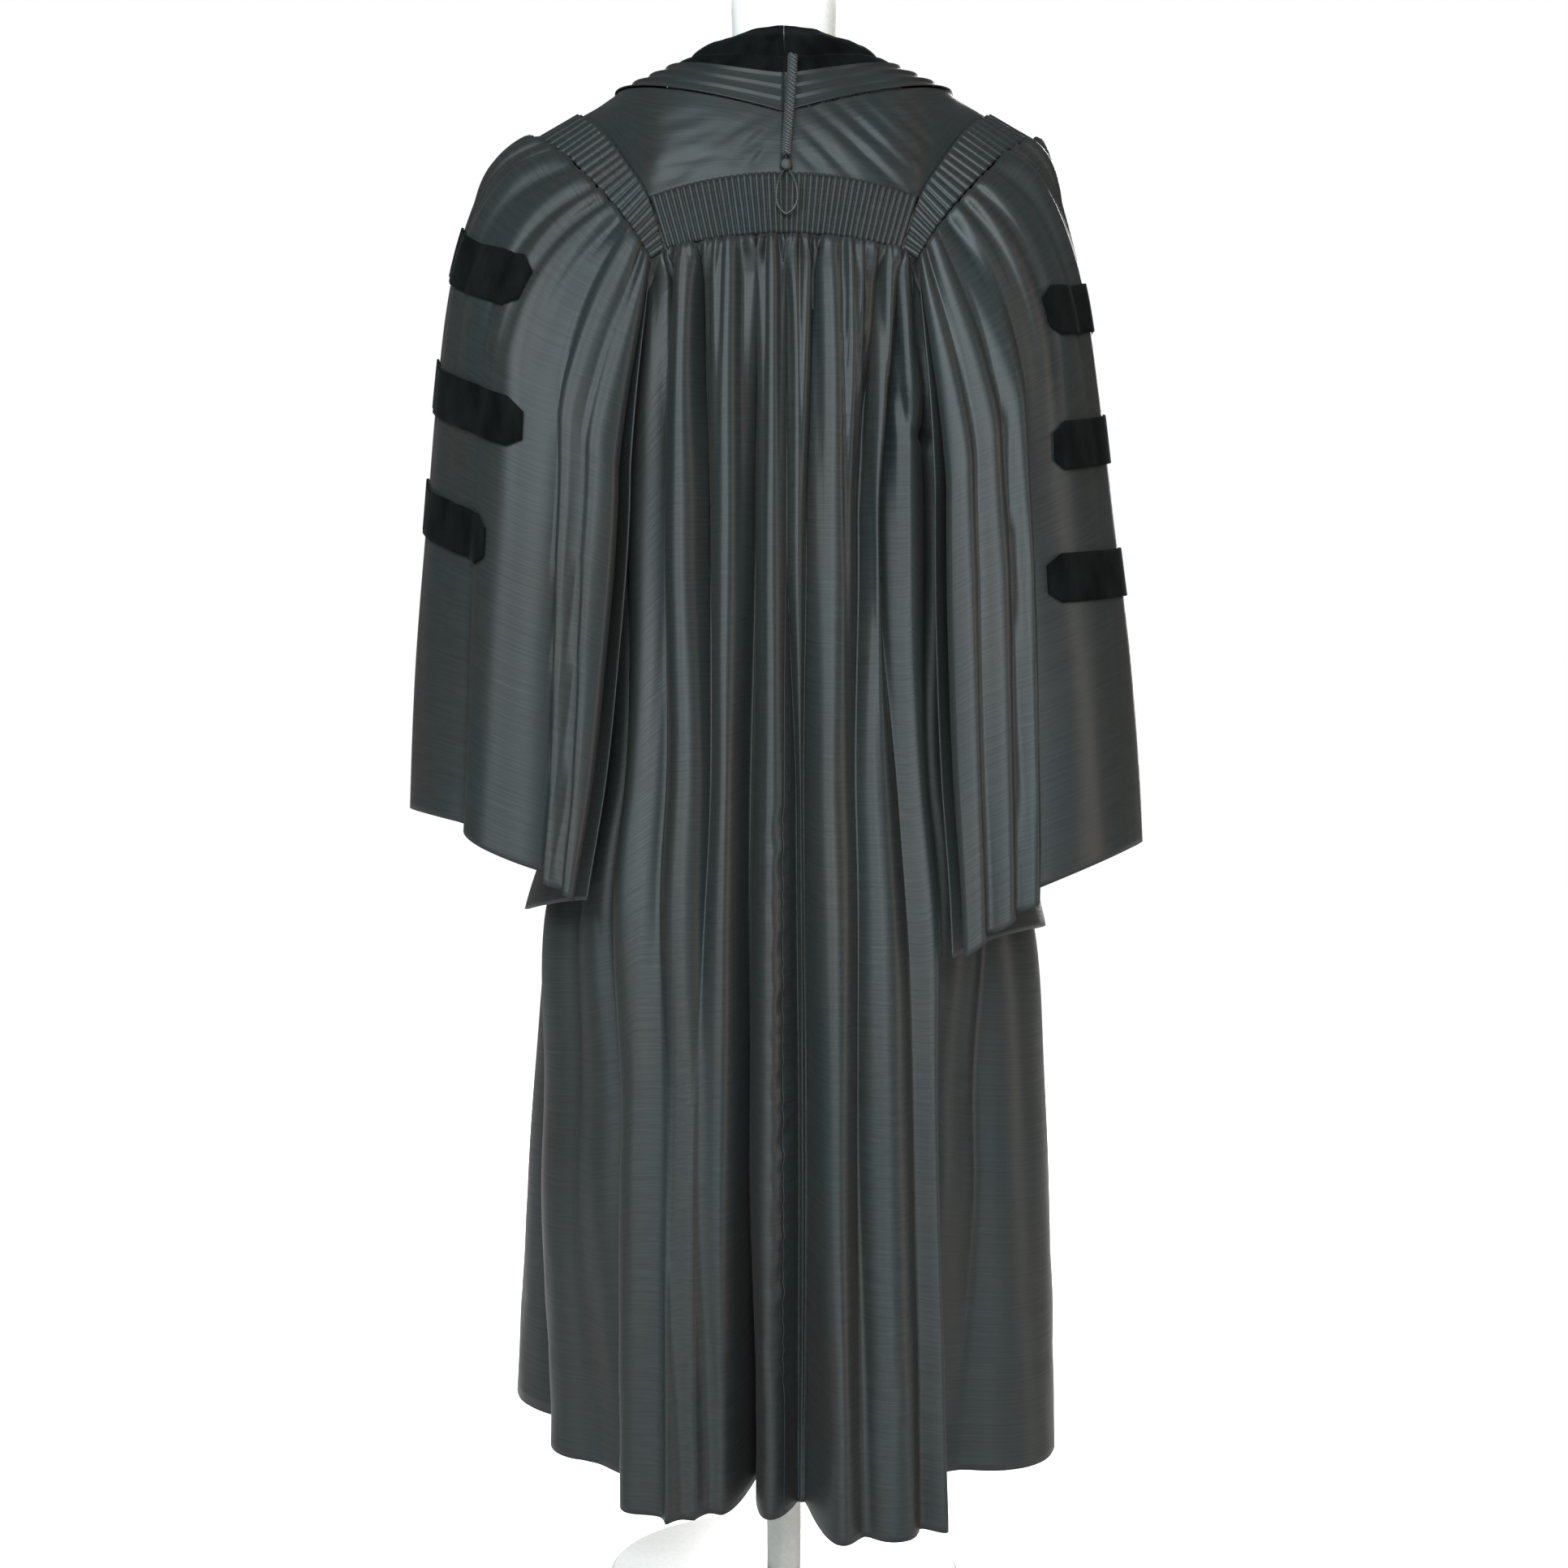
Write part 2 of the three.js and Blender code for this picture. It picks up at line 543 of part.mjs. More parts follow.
for (const side of SIDES) {
  const sign = side === "left" ? -1 : 1;
  const rows = FRONT_TOP.map((v) =>
    pleatShares.map((u) => {
      const p = velvetFront(v).lerp(armhole(mix(SHOULDER, 0.99, v)), mix(edgeTrim, 1 - armTrim, u));
      p.y = Math.max(p.y, SEAM / 2);
      const bow = YOKE_BOW * Math.sin(Math.PI * v) * u * (1 - u);
      return p.addScaledVector(outward(p), pleat(u, p.z) + bow);
    }),
  );
  for (const level of [...FRONT_DROP, 0]) {
    rows.push(
      pleatShares.map((u) => {
        const z = level || hemHeight(mix(135, 90, u));
        const edge = frontAngle(VELVET_WIDTH + SEAM / 2, z);
        const angle = mix(edge, underarmAngle(z), u);
        const r = ringRadius(BODY, angle, z) + foldOut(sign * angle, z) * fullness(z);
        return polar(r + pleat(u, z), angle, z);
      }),
    );
  }
  add(`front_${side}`, wall(mirror(rows, side), SILK, outward), "silk");

  const across = spread(0, 1, 4);
  const collar = spread(0, 1, 8).map((l) =>
    across.map((u) => {
      const p = neckRing(NECK)(l).lerp(neckRing(VELVET_EDGE)(l), u * (1 - edgeTrim));
      return p.addScaledVector(outward(p), VELVET_BOW * Math.sin(Math.PI * u));
    }),
  );
  for (const v of [0.25, 0.5, 0.75, 1]) {
    collar.push(
      across.map((u) => {
        const p = neckline(v).lerp(velvetFront(v), u * (1 - edgeTrim));
        return p.addScaledVector(outward(p), VELVET_BOW * Math.sin(Math.PI * u));
      }),
    );
  }
  for (const level of [...FRONT_DROP, 0]) {
    collar.push(
      across.map((u) => {
        const z = level || hemHeight(mix(180, 135, u));
        const edge = frontAngle(VELVET_WIDTH - SEAM / 2, z);
        const angle = mix(180, edge, u);
        const r = ringRadius(BODY, angle, z) + foldOut(sign * angle, z) * fullness(z);
        const p = polar(r, angle, z);
        return p.setX(Math.max(p.x, SEAM / 2));
      }),
    );
  }
  add(`velvet_facing_${side}`, wall(mirror(collar, side), PILE, outward), "velvet");
}

// A point of a sleeve. `share` runs round it: 0 is its back edge, 0.25 the outside, 0.5 its
// front edge and 0.75 the layer next to the body. `drop` runs from the head to the cuff.
function sleevePoint(sleeve, share, drop) {
  const outer = share <= 0.5;
  const t = outer ? share * 2 : (1 - share) * 2;
  const start = outer ? headEdge(t) : underarmPoint(1 - t);
  const lift = Math.sin(Math.PI * t);
  const edge = mix(sleeve.hem.back, sleeve.hem.front, t);
  const cuff = mix(edge, outer ? sleeve.hem.outer : sleeve.hem.inner, lift);
  const head = clamp(drop / CAP);
  const z = mix(start.z, cuff, drop - CAP * ROUND * lift * Math.sin(Math.PI * head));
  const angle = mix(column(sleeve.rows, "back", z), column(sleeve.rows, "front", z), t);
  const inside = ringRadius(BODY, angle, z) + CLEAR + TIP_LIFT * (1 - t) ** 6;
  const reach = column(sleeve.rows, "reach", z) - ringRadius(BODY, 84, z) - CLEAR;
  const bell = TIP + (reach - TIP) * lift ** 0.8;
  const p = polar(inside + (outer ? bell + sleeveFold(sleeve, t, drop) : 0), angle, z);
  const swell = mix(BACK_SWELL, SWELL, lift);
  const grown = 1 - (1 - clamp(drop / mix(BACK_CAP, CAP, lift))) ** swell;
  p.x = mix(start.x, p.x, grown);
  p.y = mix(start.y, p.y, grown);
  return p;
}

// Folds of the sleeve's outer layer, at head, elbow and cuff.
function sleeveFold(sleeve, t, drop) {
  const along = (list) =>
    drop < 0.5 ? mix(list[0], list[1], drop * 2) : mix(list[1], list[2], drop * 2 - 1);
  const rows = [{ at: 0, deep: 0 }];
  sleeve.valleys.forEach((row) => rows.push({ at: along(row.at), deep: along(row.deep) }));
  rows.push({ at: 1, deep: 0 });
  const i = Math.max(0, rows.findLastIndex((row) => row.at <= t));
  if (i === rows.length - 1) return 0;
  const s = (t - rows[i].at) / (rows[i + 1].at - rows[i].at);
  return -(1 - Math.sin(Math.PI * s) ** ROLL) * mix(rows[i].deep, rows[i + 1].deep, s);
}

// Lower half of the armhole, from the front edge (0) under the arm to the back edge (1).
function underarmPoint(t) {
  const angle = mix(UNDERARM[UNDERARM.length - 1].angle, UNDERARM[0].angle, t);
  const z = topHeight(angle);
  const p = polar(ringRadius(BODY, angle, z) + 2 * SEAM, angle, z);
  const front = vec(HEAD[HEAD.length - 1]);
  const back = vec(HEAD[0]);
  return p.lerp(front, ease(1 - t * 6)).lerp(back, ease(t * 6 - 5));
}

// The value between two others where a rising test first holds.
function firstWhere(low, high, holds) {
  for (let i = 0; i < 40; i++) {
    const middle = (low + high) / 2;
    if (holds(middle)) high = middle;
    else low = middle;
  }
  return high;
}

const dropAt = (sleeve, t, z) => firstWhere(0, 1, (drop) => sleevePoint(sleeve, t / 2, drop).z <= z);

// Where a bar starts, as a share of the sleeve's outer layer.
function barStart(sleeve, bar) {
  const z = bar.back - BAR_TALL / 2;
  return firstWhere(0.02, 0.45, (t) => sleevePoint(sleeve, t / 2, dropAt(sleeve, t, z)).x >= bar.edge);
}

// Line along a bar, `below` its top edge, carried on round the sleeve at the bar's ends.
function barLine(sleeve, bar, below) {
  const from = barStart(sleeve, bar);
  return (share) => {
    const t = Math.min(Math.max(share, from), BAR_TO);
    const lean = clamp(1 - Math.abs(t - 0.5) / (0.5 - from));
    return dropAt(sleeve, t, mix(bar.back, bar.outer, lean) - below);
  };
}

// Bell sleeves. Rows of the grid run along the edges of the bars, so that each bar is a
// stretch of the sleeve's own points moved out.
const HEAD_ROWS = [0.004, 0.03, 0.06];
const CUFF_ROWS = [0.78, 0.9, 1];
const NEAR = 0.012; // columns of the grid closer than this become one
for (const side of SIDES) {
  const sleeve = SLEEVE[side];
  const lines = [
    ...HEAD_ROWS.map(fixed),
    ...sleeve.bars.flatMap((bar) => [barLine(sleeve, bar, 0), barLine(sleeve, bar, BAR_TALL)]),
    ...CUFF_ROWS.map(fixed),
  ];
  const outerShares = [0];
  const [, , edge] = sleeve.valleys;
  const marks = [0, ...sleeve.valleys.map((row) => row.at[1]), 1];
  marks.splice(4, 0, edge.at[1] + FOLD_EDGE);
  [2, 2, 3, 1, 5, 3, 2].forEach((n, i) =>
    spread(marks[i], marks[i + 1], n)
      .slice(1)
      .forEach((t) => outerShares.push(t / 2)),
  );
  for (const start of sleeve.bars.map((bar) => barStart(sleeve, bar) / 2)) {
    const near = outerShares.findIndex((s) => Math.abs(s - start) < NEAR / 2);
    if (near >= 0) outerShares[near] = start;
    else outerShares.push(start);
  }
  outerShares.sort((a, b) => a - b);
  const shares = [...outerShares, ...spread(0.5, 1, 11).slice(1, -1)];
  const grid = mirror(
    lines.map((line) => shares.map((s) => sleevePoint(sleeve, s, line(s < 0.5 ? 2 * s : 2 - 2 * s)))),
    side,
  );
  const middle = (r) =>
    grid[r].reduce((sum, p) => sum.add(p), new THREE.Vector3()).divideScalar(shares.length);
  const centres = grid.map((_, r) => middle(r));
  const away = (p) => {
    const near = centres.reduce((a, b) => (Math.abs(a.z - p.z) < Math.abs(b.z - p.z) ? a : b));
    return p.clone().sub(near).setZ(0).normalize();
  };
  add(`sleeve_${side}`, wall(grid, SILK, away, { closed: true, follow: "none" }), "silk");
  sleeve.bars.forEach((bar, i) => {
    const start = barStart(sleeve, bar) / 2;
    const first = outerShares.findIndex((s) => s > start - NEAR / 2);
    const last = outerShares.findIndex((s) => s * 2 > BAR_TO);
    const top = HEAD_ROWS.length + i * 2;
    const faces = grid[top].map((p, c) => sheetNormal(grid, top, c, away));
    const strip = [top, top + 1].map((row, half) =>
      grid[row].slice(first, last + 1).map((p, c) => {
        const clip = c === 0 || c === last - first ? BAR_CLIP : 0;
        const clipped = p.clone().lerp(grid[top + 1 - half][first + c], clip);
        return clipped.addScaledVector(faces[first + c], 3 * SEAM + PILE);
      }),
    );
    const out = (p) => {
      const gaps = strip.map((line) => line.map((q) => q.distanceTo(p)));
      const near = gaps[0].map((gap, c) => Math.min(gap, gaps[1][c]));
      return faces[first + near.indexOf(Math.min(...near))];
    };
    add(`sleeve_bar_${side}_${i + 1}`, wall(strip, PILE, out, WHOLE), "velvet");
  });
}

// Normal of a sleeve's grid between two rows, pointing out of the sleeve.
function sheetNormal(grid, row, c, away) {
  const cols = grid[0].length;
  const along = grid[row + 1][c].clone().sub(grid[row][c]);
  const across = grid[row][(c + 1) % cols].clone().sub(grid[row][(c - 1 + cols) % cols]);
  const face = across.cross(along).normalize();
  return face.dot(away(grid[row][c])) < 0 ? face.negate() : face;
}

// Braid, button and loop
function tube(points, r, sides, steps) {
  const path = new THREE.CatmullRomCurve3(points.map(vec));
  const disc = new THREE.Shape(
    spread(0, 2 * Math.PI, sides)
      .slice(0, -1)
      .map((a) => new THREE.Vector2(r * Math.cos(a), r * Math.sin(a))),
  );
  return new THREE.ExtrudeGeometry(disc, { steps, extrudePath: path, bevelEnabled: false });
}

const braidOff = TUCK_LIFT + BRAID_R + 6 * SEAM;
add(
  "back_braid",
  tube(
    BRAID_ROUTE.map(([x, y, z]) => [x, y - braidOff, z]),
    BRAID_R,
    8,
    12,
  ),
  "braid",
);

const [buttonX, buttonZ] = BUTTON_AT;
const dome = new THREE.LatheGeometry(
  [
    new THREE.Vector2(0, 0),
    new THREE.Vector2(BUTTON_R * 0.8, 0),
    new THREE.Vector2(BUTTON_R, BUTTON_THICK * 0.35),
    new THREE.Vector2(BUTTON_R * 0.75, BUTTON_THICK * 0.8),
    new THREE.Vector2(0, BUTTON_THICK),
  ],
  16,
);
add("hood_button", dome.rotateX(Math.PI).translate(buttonX, BUTTON_SEAT, buttonZ), "silk");

add(
  "hood_loop",
  tube(
    LOOP_ROUTE.map(([x, y, z]) => [buttonX + x, BUTTON_SEAT + y, buttonZ + z]),
    LOOP_R,
    8,
    20,
  ),
  "braid",
);

// Dress form: torso, neck cap, pole and base
function solidRings(rows, sides, steps) {
  const heights = rows.slice(1).flatMap((row, i) => spread(rows[i].z, row.z, steps).slice(i ? 1 : 0));
  const angles = spread(-180, 180, sides).slice(0, -1);
  const points = [];
  for (const z of heights) {
    for (const angle of angles) points.push(...polar(ringRadius(rows, angle, z), angle, z).toArray());
  }
  const last = heights.length - 1;
  const index = [];
  const at = (r, c) => r * sides + (c % sides);
  for (let r = 0; r < last; r++) {
    for (let c = 0; c < sides; c++) {
      index.push(at(r, c), at(r + 1, c), at(r, c + 1), at(r, c + 1), at(r + 1, c), at(r + 1, c + 1));
    }
  }
  for (let c = 1; c < sides - 1; c++) {
    index.push(at(0, 0), at(0, c), at(0, c + 1), at(last, 0), at(last, c + 1), at(last, c));
  }
  return new THREE.BufferGeometry()
    .setAttribute("position", new THREE.Float32BufferAttribute(points, 3))
    .setIndex(index);
}

const lathe = (profile, sides) =>
  new THREE.LatheGeometry(profile.map(([r, z]) => new THREE.Vector2(r, z)), sides).rotateX(Math.PI / 2);

add("form_torso", solidRings(FORM, 28, 1), "jersey");
const neckTop = FORM[0].z;
const capProfile = [
  [0, 0],
  [CAP_R, 0],
  [CAP_R, CAP_THICK * 0.6],
  [CAP_R - 3, CAP_THICK],
  [0, CAP_THICK],
];
add("form_neck_cap", lathe(capProfile, 28).translate(0, 0, neckTop + SEAM), "brass");
const torsoFoot = FORM[FORM.length - 1].z;
const poleLength = torsoFoot - BASE_THICK - 2 * SEAM;
const poleProfile = [
  [0, 0],
  [POLE_R, 0],
  [POLE_R, poleLength],
  [0, poleLength],
];
add("form_pole", lathe(poleProfile, 24).translate(0, 0, BASE_THICK + SEAM), "steel");
const baseProfile = [
  [0, 0],
  [BASE_R, 0],
  [BASE_R, BASE_THICK - BASE_EDGE],
  [BASE_R - BASE_EDGE, BASE_THICK],
  [0, BASE_THICK],
];
add("form_base", lathe(baseProfile, 48), "steel");

export default root;
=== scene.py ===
# Doctoral graduation gown of black silk faille and velvet, on a white limbless dress form.
# Shapes are worked out in millimetres and made in metres. The gown's back faces -Y.
import math
from collections import namedtuple
from functools import lru_cache

import bmesh
import bpy
from mathutils import Matrix, Vector, noise


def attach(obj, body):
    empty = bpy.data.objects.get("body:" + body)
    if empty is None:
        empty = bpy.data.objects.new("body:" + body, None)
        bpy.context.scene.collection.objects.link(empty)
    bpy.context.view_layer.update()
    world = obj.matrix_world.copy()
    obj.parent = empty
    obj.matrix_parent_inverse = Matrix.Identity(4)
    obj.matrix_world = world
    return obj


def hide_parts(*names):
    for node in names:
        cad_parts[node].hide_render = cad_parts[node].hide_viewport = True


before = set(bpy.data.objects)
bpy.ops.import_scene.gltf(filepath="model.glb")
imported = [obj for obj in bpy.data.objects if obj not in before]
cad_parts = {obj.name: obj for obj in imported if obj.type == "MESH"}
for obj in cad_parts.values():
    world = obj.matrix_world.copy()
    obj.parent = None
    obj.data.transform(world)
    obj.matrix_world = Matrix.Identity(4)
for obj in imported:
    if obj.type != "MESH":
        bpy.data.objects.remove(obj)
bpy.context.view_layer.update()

MM = 0.001

# Camera: level, 2.2 m behind the gown, with the photograph's square frame
EYE = Vector((0, -2200, 757))
LENS = 52.96
SENSOR = 36

# Cloth walls
SILK = 1.1
PILE = 2.0
SEAM = 0.3
RELEASE = 35
ROLL = 0.46
SOFT_VALLEY = 0.014  # rounds the bottom of a valley between two rolls

Ring = namedtuple("Ring", "z half back front")
BODY = [
    Ring(1250, 178, 150, 132),
    Ring(1120, 186, 158, 140),
    Ring(1000, 180, 163, 142),
    Ring(880, 180, 168, 146),
    Ring(760, 195, 174, 154),
    Ring(628, 236, 182, 168),
    Ring(480, 249, 188, 180),
    Ring(330, 256, 192, 192),
    Ring(100, 262, 196, 204),
]
SQUARE = 2.6
HEM_HEIGHT = 151
HEM_TILT = 0.22

# Valleys between the folds at chest, waist, hip, knee and hem
LEVELS = [1216, 983, 733, 430, 110]
DEPTH = [1.5, 1.6, 1.4, 1.1, 1]  # how much deeper the soft folds are than the plain ones
Valley = namedtuple("Valley", "at deep rise")
FLAT = [0, 0, 0, 0, 0]
VALLEYS = [
    Valley([-132, -132, -134, -137, -138], [4, 8, 10, 12, 14], [0, 0, 0, 8, 16]),
    Valley([-95, -95, -94, -92, -90], [2, 6, 10, 30, 48], [0, 0, -4, -24, -40]),
    Valley([-62, -67, -66, -66, -67], [4, 10, 16, 40, 65], [0, -6, -14, -40, -75]),
    Valley([-47.6, -54, -51.7, -47.3, -48.3], [14, 26, 34, 55, 90], [0, 0, 0, -6, -14]),
    Valley([-36.4, -40.2, -36.1, -30.5, -29], [12, 12, 12, 7, 3], [0, 0, 0, -6, -14]),
    Valley([-28.3, -25.5, -22.6, -24, -23.5], [16, 16, 12, 7, 14], [0, 0, 0, -8, -24]),
    Valley([-9.2, -10.2, -11.7, -12.3, -12.6], [12, 16, 22, 48, 100], [0, 0, 0, -6, -18]),
    Valley([0.5, 1, 4.2, 4.9, 5.1], [8, 7, 18, 28, 48], [-3, -3, -16, -27, -47]),
    Valley([10, 7.2, 6.4, 6.8, 7], [11, 9, 17, 27, 47], [0, 0, 0, 10, 26]),
    Valley([31, 25.2, 21.6, 19.6, 19.3], [12, 12, 9, 6, -14], [0, 0, 0, 10, 26]),
    Valley([36.9, 31.3, 33.4, 32, 30.8], [14, 14, 8, 0, -12], [0, 0, 0, 8, 20]),
    Valley([42.7, 50.4, 45.1, 40.4, 39.5], [12, 26, 32, 60, 100], [0, -6, -14, -45, -80]),
    Valley([58, 64, 62, 60, 60], [4, 10, 16, 45, 72], [0, 0, 0, -4, -6]),
    Valley([100, 100, 100, 100, 100], [2, 6, 8, 14, 18], FLAT),
    Valley([132, 132, 134, 137, 138], [4, 8, 10, 12, 14], FLAT),
]

# Rings round the neck, from the centre back to the shoulder line
Neck = namedtuple("Neck", "back z_back side z_side bend")
NECK = Neck(62, 1460, 60, 1455, 2)
VELVET_EDGE = Neck(95, 1404, 112, 1433, 1.5)
TUCK_EDGE = Neck(114, 1364, 160, 1410, 1)
TUCKS = 3
TUCK_LIFT = 3

# Yoke and armhole seams of the right side
YOKE_CENTRE = (0, -138, 1303)
YOKE_CORNER = (122, -123, 1285)
YOKE_BOW = 6
FLUTES_TOP_BOW = 4
ARMHOLE = [
    (107, -135, 1234),
    YOKE_CORNER,
    (146, -93, 1328),
    (172, -52, 1368),
    (197, 0, 1391),
    (180, 48, 1366),
    (163, 80, 1322),
    (151, 92, 1243),
]
HEAD = [
    (119, -138, 1226),
    (141, -129, 1262),
    (174, -103, 1304),
    (206, -60, 1342),
    (236, -4, 1367),
    (214, 52, 1340),
    (186, 88, 1297),
    (161, 99, 1238),
]
SHOULDER = 4 / 7  # share of the armhole at the shoulder line
CORNER = 1 / 7  # share of the armhole at the yoke's corner
UNDERARM = [(38.3, 1235), (45.3, 1185), (57.9, 1145), (90, 1118), (109.4, 1160), (121.5, 1240)]
FLUTE_EDGE = 38.3
FLUTE_FOOT = (1245, 1235)  # height of the fluting's lower edge at its middle and its ends
FLUTES_SPAN = 0.985
BACK_FLUTES = 44
HEAD_FLUTES = 40
FLUTE_HEIGHT = 3.4

# Front edges of the right side
NECKLINE = [(60, 0, 1455), (57, 36, 1434), (46, 70, 1396), (26, 98, 1362), (0.15, 116, 1330)]
VELVET_FRONT = [(112, 0, 1433), (112, 44, 1412), (112, 82, 1362), (112, 104, 1305)]
VELVET_WIDTH = 112
VELVET_BOW = 3
PLEATED = 0.565
PLEAT_END = 700
PLEAT_FADE = 400
FRONT_TOP = [0, 0.16, 0.32, 0.5, 0.68, 0.86]
FRONT_DROP = [1240, 1185, 1118, 1060, 990, 910, 820, 740, 640, 480, 300]
FRONT_EASE = 90

# Sleeves
Reach = namedtuple("Reach", "z reach back front")
Bar = namedtuple("Bar", "edge back outer")  # how far out it starts, its top edge there and outside
Sleeve = namedtuple("Sleeve", "rows outer back front inner bars valleys")
SLEEVES = {
    "left": Sleeve(
        [
            Reach(1300, 294, 40, 124),
            Reach(1180, 319, 40, 126),
            Reach(1000, 336, 39.5, 126),
            Reach(850, 346, 42, 122),
            Reach(600, 354, 45, 118),
        ],
        735, 655, 690, 640,
        [Bar(229, 1221, 1276), Bar(229, 1094, 1155), Bar(262, 992, 1043)],
        [
            ([0.055, 0.06, 0.03], [6, 10, 12]),
            ([0.12, 0.105, 0.075], [12, 20, 26]),
            ([0.26, 0.27, 0.29], [2, 8, 26]),
            ([0.66, 0.66, 0.66], [2, 10, 20]),
            ([0.85, 0.85, 0.85], [4, 12, 18]),
        ],
    ),
    "right": Sleeve(
        [
            Reach(1300, 262, 41, 124),
            Reach(1180, 288, 40, 126),
            Reach(1000, 312, 38.5, 126),
            Reach(850, 329, 38, 122),
            Reach(600, 342, 37, 118),
        ],
        705, 605, 670, 625,
        [Bar(233, 1202, 1225), Bar(239, 1079, 1103), Bar(233, 960, 978)],
        [
            ([0.05, 0.06, 0.055], [6, 10, 12]),
            ([0.097, 0.127, 0.11], [10, 14, 14]),
            ([0.178, 0.175, 0.16], [8, 24, 30]),
            ([0.66, 0.66, 0.66], [2, 10, 20]),
            ([0.85, 0.85, 0.85], [4, 12, 18]),
        ],
    ),
}
SLEEVE_MIDDLE = 240  # distance of a sleeve's middle from the gown's
SLEEVE_LENGTH = 620
CLEAR = 9
TIP = 16
TIP_LIFT = 22
BAR_TALL = 44
BAR_TO = 0.78
BAR_CLIP = 0.22
CAP = 0.22  # share of the sleeve's length that its rounded head takes, on the outside
BACK_CAP = 0.34  # and at its back and front edges
SWELL = 2.4  # how fast the head swells out, on the outside
BACK_SWELL = 1.2
ROUND = 0.2

# Braid, button and loop
BRAID_R = 3.6
BRAID_OFF = TUCK_LIFT + BRAID_R + 6 * SEAM
BUTTON_R = 6
BUTTON_THICK = 4.5
BUTTON_AT = Vector((2, -140.3, 1310))
LOOP_R = 1.2
BRAID_ROUTE = [(8, -88, 1422), (7, -100, 1395), (5, -113, 1366), (3, -128, 1338), (2, -138, 1319)]
LOOP_ROUTE = [
    (-3, -2.2, -5.9),
    (-8, -13, -22),
    (-8, -14, -38),
    (0, -14, -47),
    (9, -14, -38),
    (9, -13, -22),
    (3, -2.2, -5.9),
]

# Dress form
FORM = [
    Ring(1500, 50, 50, 50),
    Ring(1452, 50, 51, 50),
    Ring(1432, 58, 56, 50),
    Ring(1422, 84, 62, 50),
    Ring(1406, 128, 74, 54),
    Ring(1388, 162, 86, 62),
    Ring(1366, 176, 96, 74),
    Ring(1320, 172, 110, 94),
    Ring(1250, 150, 122, 116),
    Ring(1160, 146, 118, 122),
    Ring(1030, 130, 100, 108),
    Ring(860, 152, 122, 116),
    Ring(770, 150, 118, 112),
]
CAP_R = 47
CAP_THICK = 6
POLE_R = 16
BASE_R = 165
BASE_THICK = 12
BASE_EDGE = 3


def clamp(t):
    return min(1.0, max(0.0, t))


def mix(a, b, t):
    return a + (b - a) * t


def ease(t):
    t = clamp(t)
    return t * t * (3 - 2 * t)


def sin_deg(angle):
    return math.sin(math.radians(angle))


def cos_deg(angle):
    return math.cos(math.radians(angle))


@lru_cache(maxsize=None)
def column_at(table, name, z):
    """Smooth value of one column of a ring table at height z."""
    rows = TABLES[table]
    i = 0
    while i < len(rows) - 2 and z < rows[i + 1].z:
        i += 1

    def slope(j):
        above, below = rows[max(j - 1, 0)], rows[min(j + 1, len(rows) - 1)]
        return (getattr(below, name) - getattr(above, name)) / (below.z - above.z)

    step = rows[i + 1].z - rows[i].z
    t = clamp((z - rows[i].z) / step)
    t2, t3 = t * t, t * t * t
    return (
        (2 * t3 - 3 * t2 + 1) * getattr(rows[i], name)
        + (t3 - 2 * t2 + t) * step * slope(i)
        + (3 * t2 - 2 * t3) * getattr(rows[i + 1], name)
        + (t3 - t2) * step * slope(i + 1)
    )


TABLES = {"body": BODY, "form": FORM, "left": SLEEVES["left"].rows, "right": SLEEVES["right"].rows}


def column(table, name, z):
    """Column at height z, worked out once for each tenth of a millimetre."""
    return column_at(table, name, round(z, 1))


@lru_cache(maxsize=None)
def levels_at(z):
    """Angle, depth and rise of every valley at height z."""
    i = 0
    while i < len(LEVELS) - 2 and z < LEVELS[i + 1]:
        i += 1
    t = ease((z - LEVELS[i]) / (LEVELS[i + 1] - LEVELS[i]))
    depth = mix(DEPTH[i], DEPTH[i + 1], t)
    rows = [[mix(values[i], values[i + 1], t) for values in row] for row in VALLEYS]
    return [Valley(at, deep * depth, rise) for at, deep, rise in rows]


def ring_radius(table, angle, z):
    across = abs(sin_deg(angle)) / column(table, "half", z)
    side = "back" if cos_deg(angle) > 0 else "front"
    along = abs(cos_deg(angle)) / column(table, side, z)
    return (across**SQUARE + along**SQUARE) ** (-1 / SQUARE)


def polar(r, angle, z):
    return Vector((r * sin_deg(angle), -r * cos_deg(angle), z))


def angle_of(point):
    return math.degrees(math.atan2(point.x, -point.y))


def top_height(angle):
    """Height of the upper edge of the body panels."""
    a = abs(angle)
    if a < FLUTE_EDGE:
        return mix(*FLUTE_FOOT, (a / FLUTE_EDGE) ** 2)
    for (low, z_low), (high, z_high) in zip(UNDERARM, UNDERARM[1:]):
        if a <= high:
            return mix(z_low, z_high, (a - low) / (high - low))
    return UNDERARM[-1][1]


def rolled(t):
    """Height of a roll between two valleys, 0 in the valleys and 1 in the middle."""
    raised = (math.sin(math.pi * t) ** 2 + SOFT_VALLEY) ** (ROLL / 2)
    low, high = SOFT_VALLEY ** (ROLL / 2), (1 + SOFT_VALLEY) ** (ROLL / 2)
    return (raised - low) / (high - low)


def fold_out(angle, z):
    """How far the cloth lies off its ring: round rolls between valleys."""
    rows = levels_at(round(z, 1))
    last = len(rows) - 1
    i = last
    for j, row in enumerate(rows):
        if row.at <= angle:
            i = j
    if angle < rows[0].at:
        i = last
    following = 0 if i == last else i + 1
    start = rows[i].at - 360 if rows[i].at > angle else rows[i].at
    end = start + rows[0].at + 360 - rows[last].at if i == last else rows[following].at
    t = clamp((angle - start) / (end - start))
    roll = rolled(t)
    return roll * rows[i].rise - (1 - roll) * mix(rows[i].deep, rows[following].deep, t)


def hem_height(angle):
    r = ring_radius("body", angle, HEM_HEIGHT) + fold_out(angle, HEM_HEIGHT)
    return HEM_HEIGHT - HEM_TILT * r * cos_deg(angle)


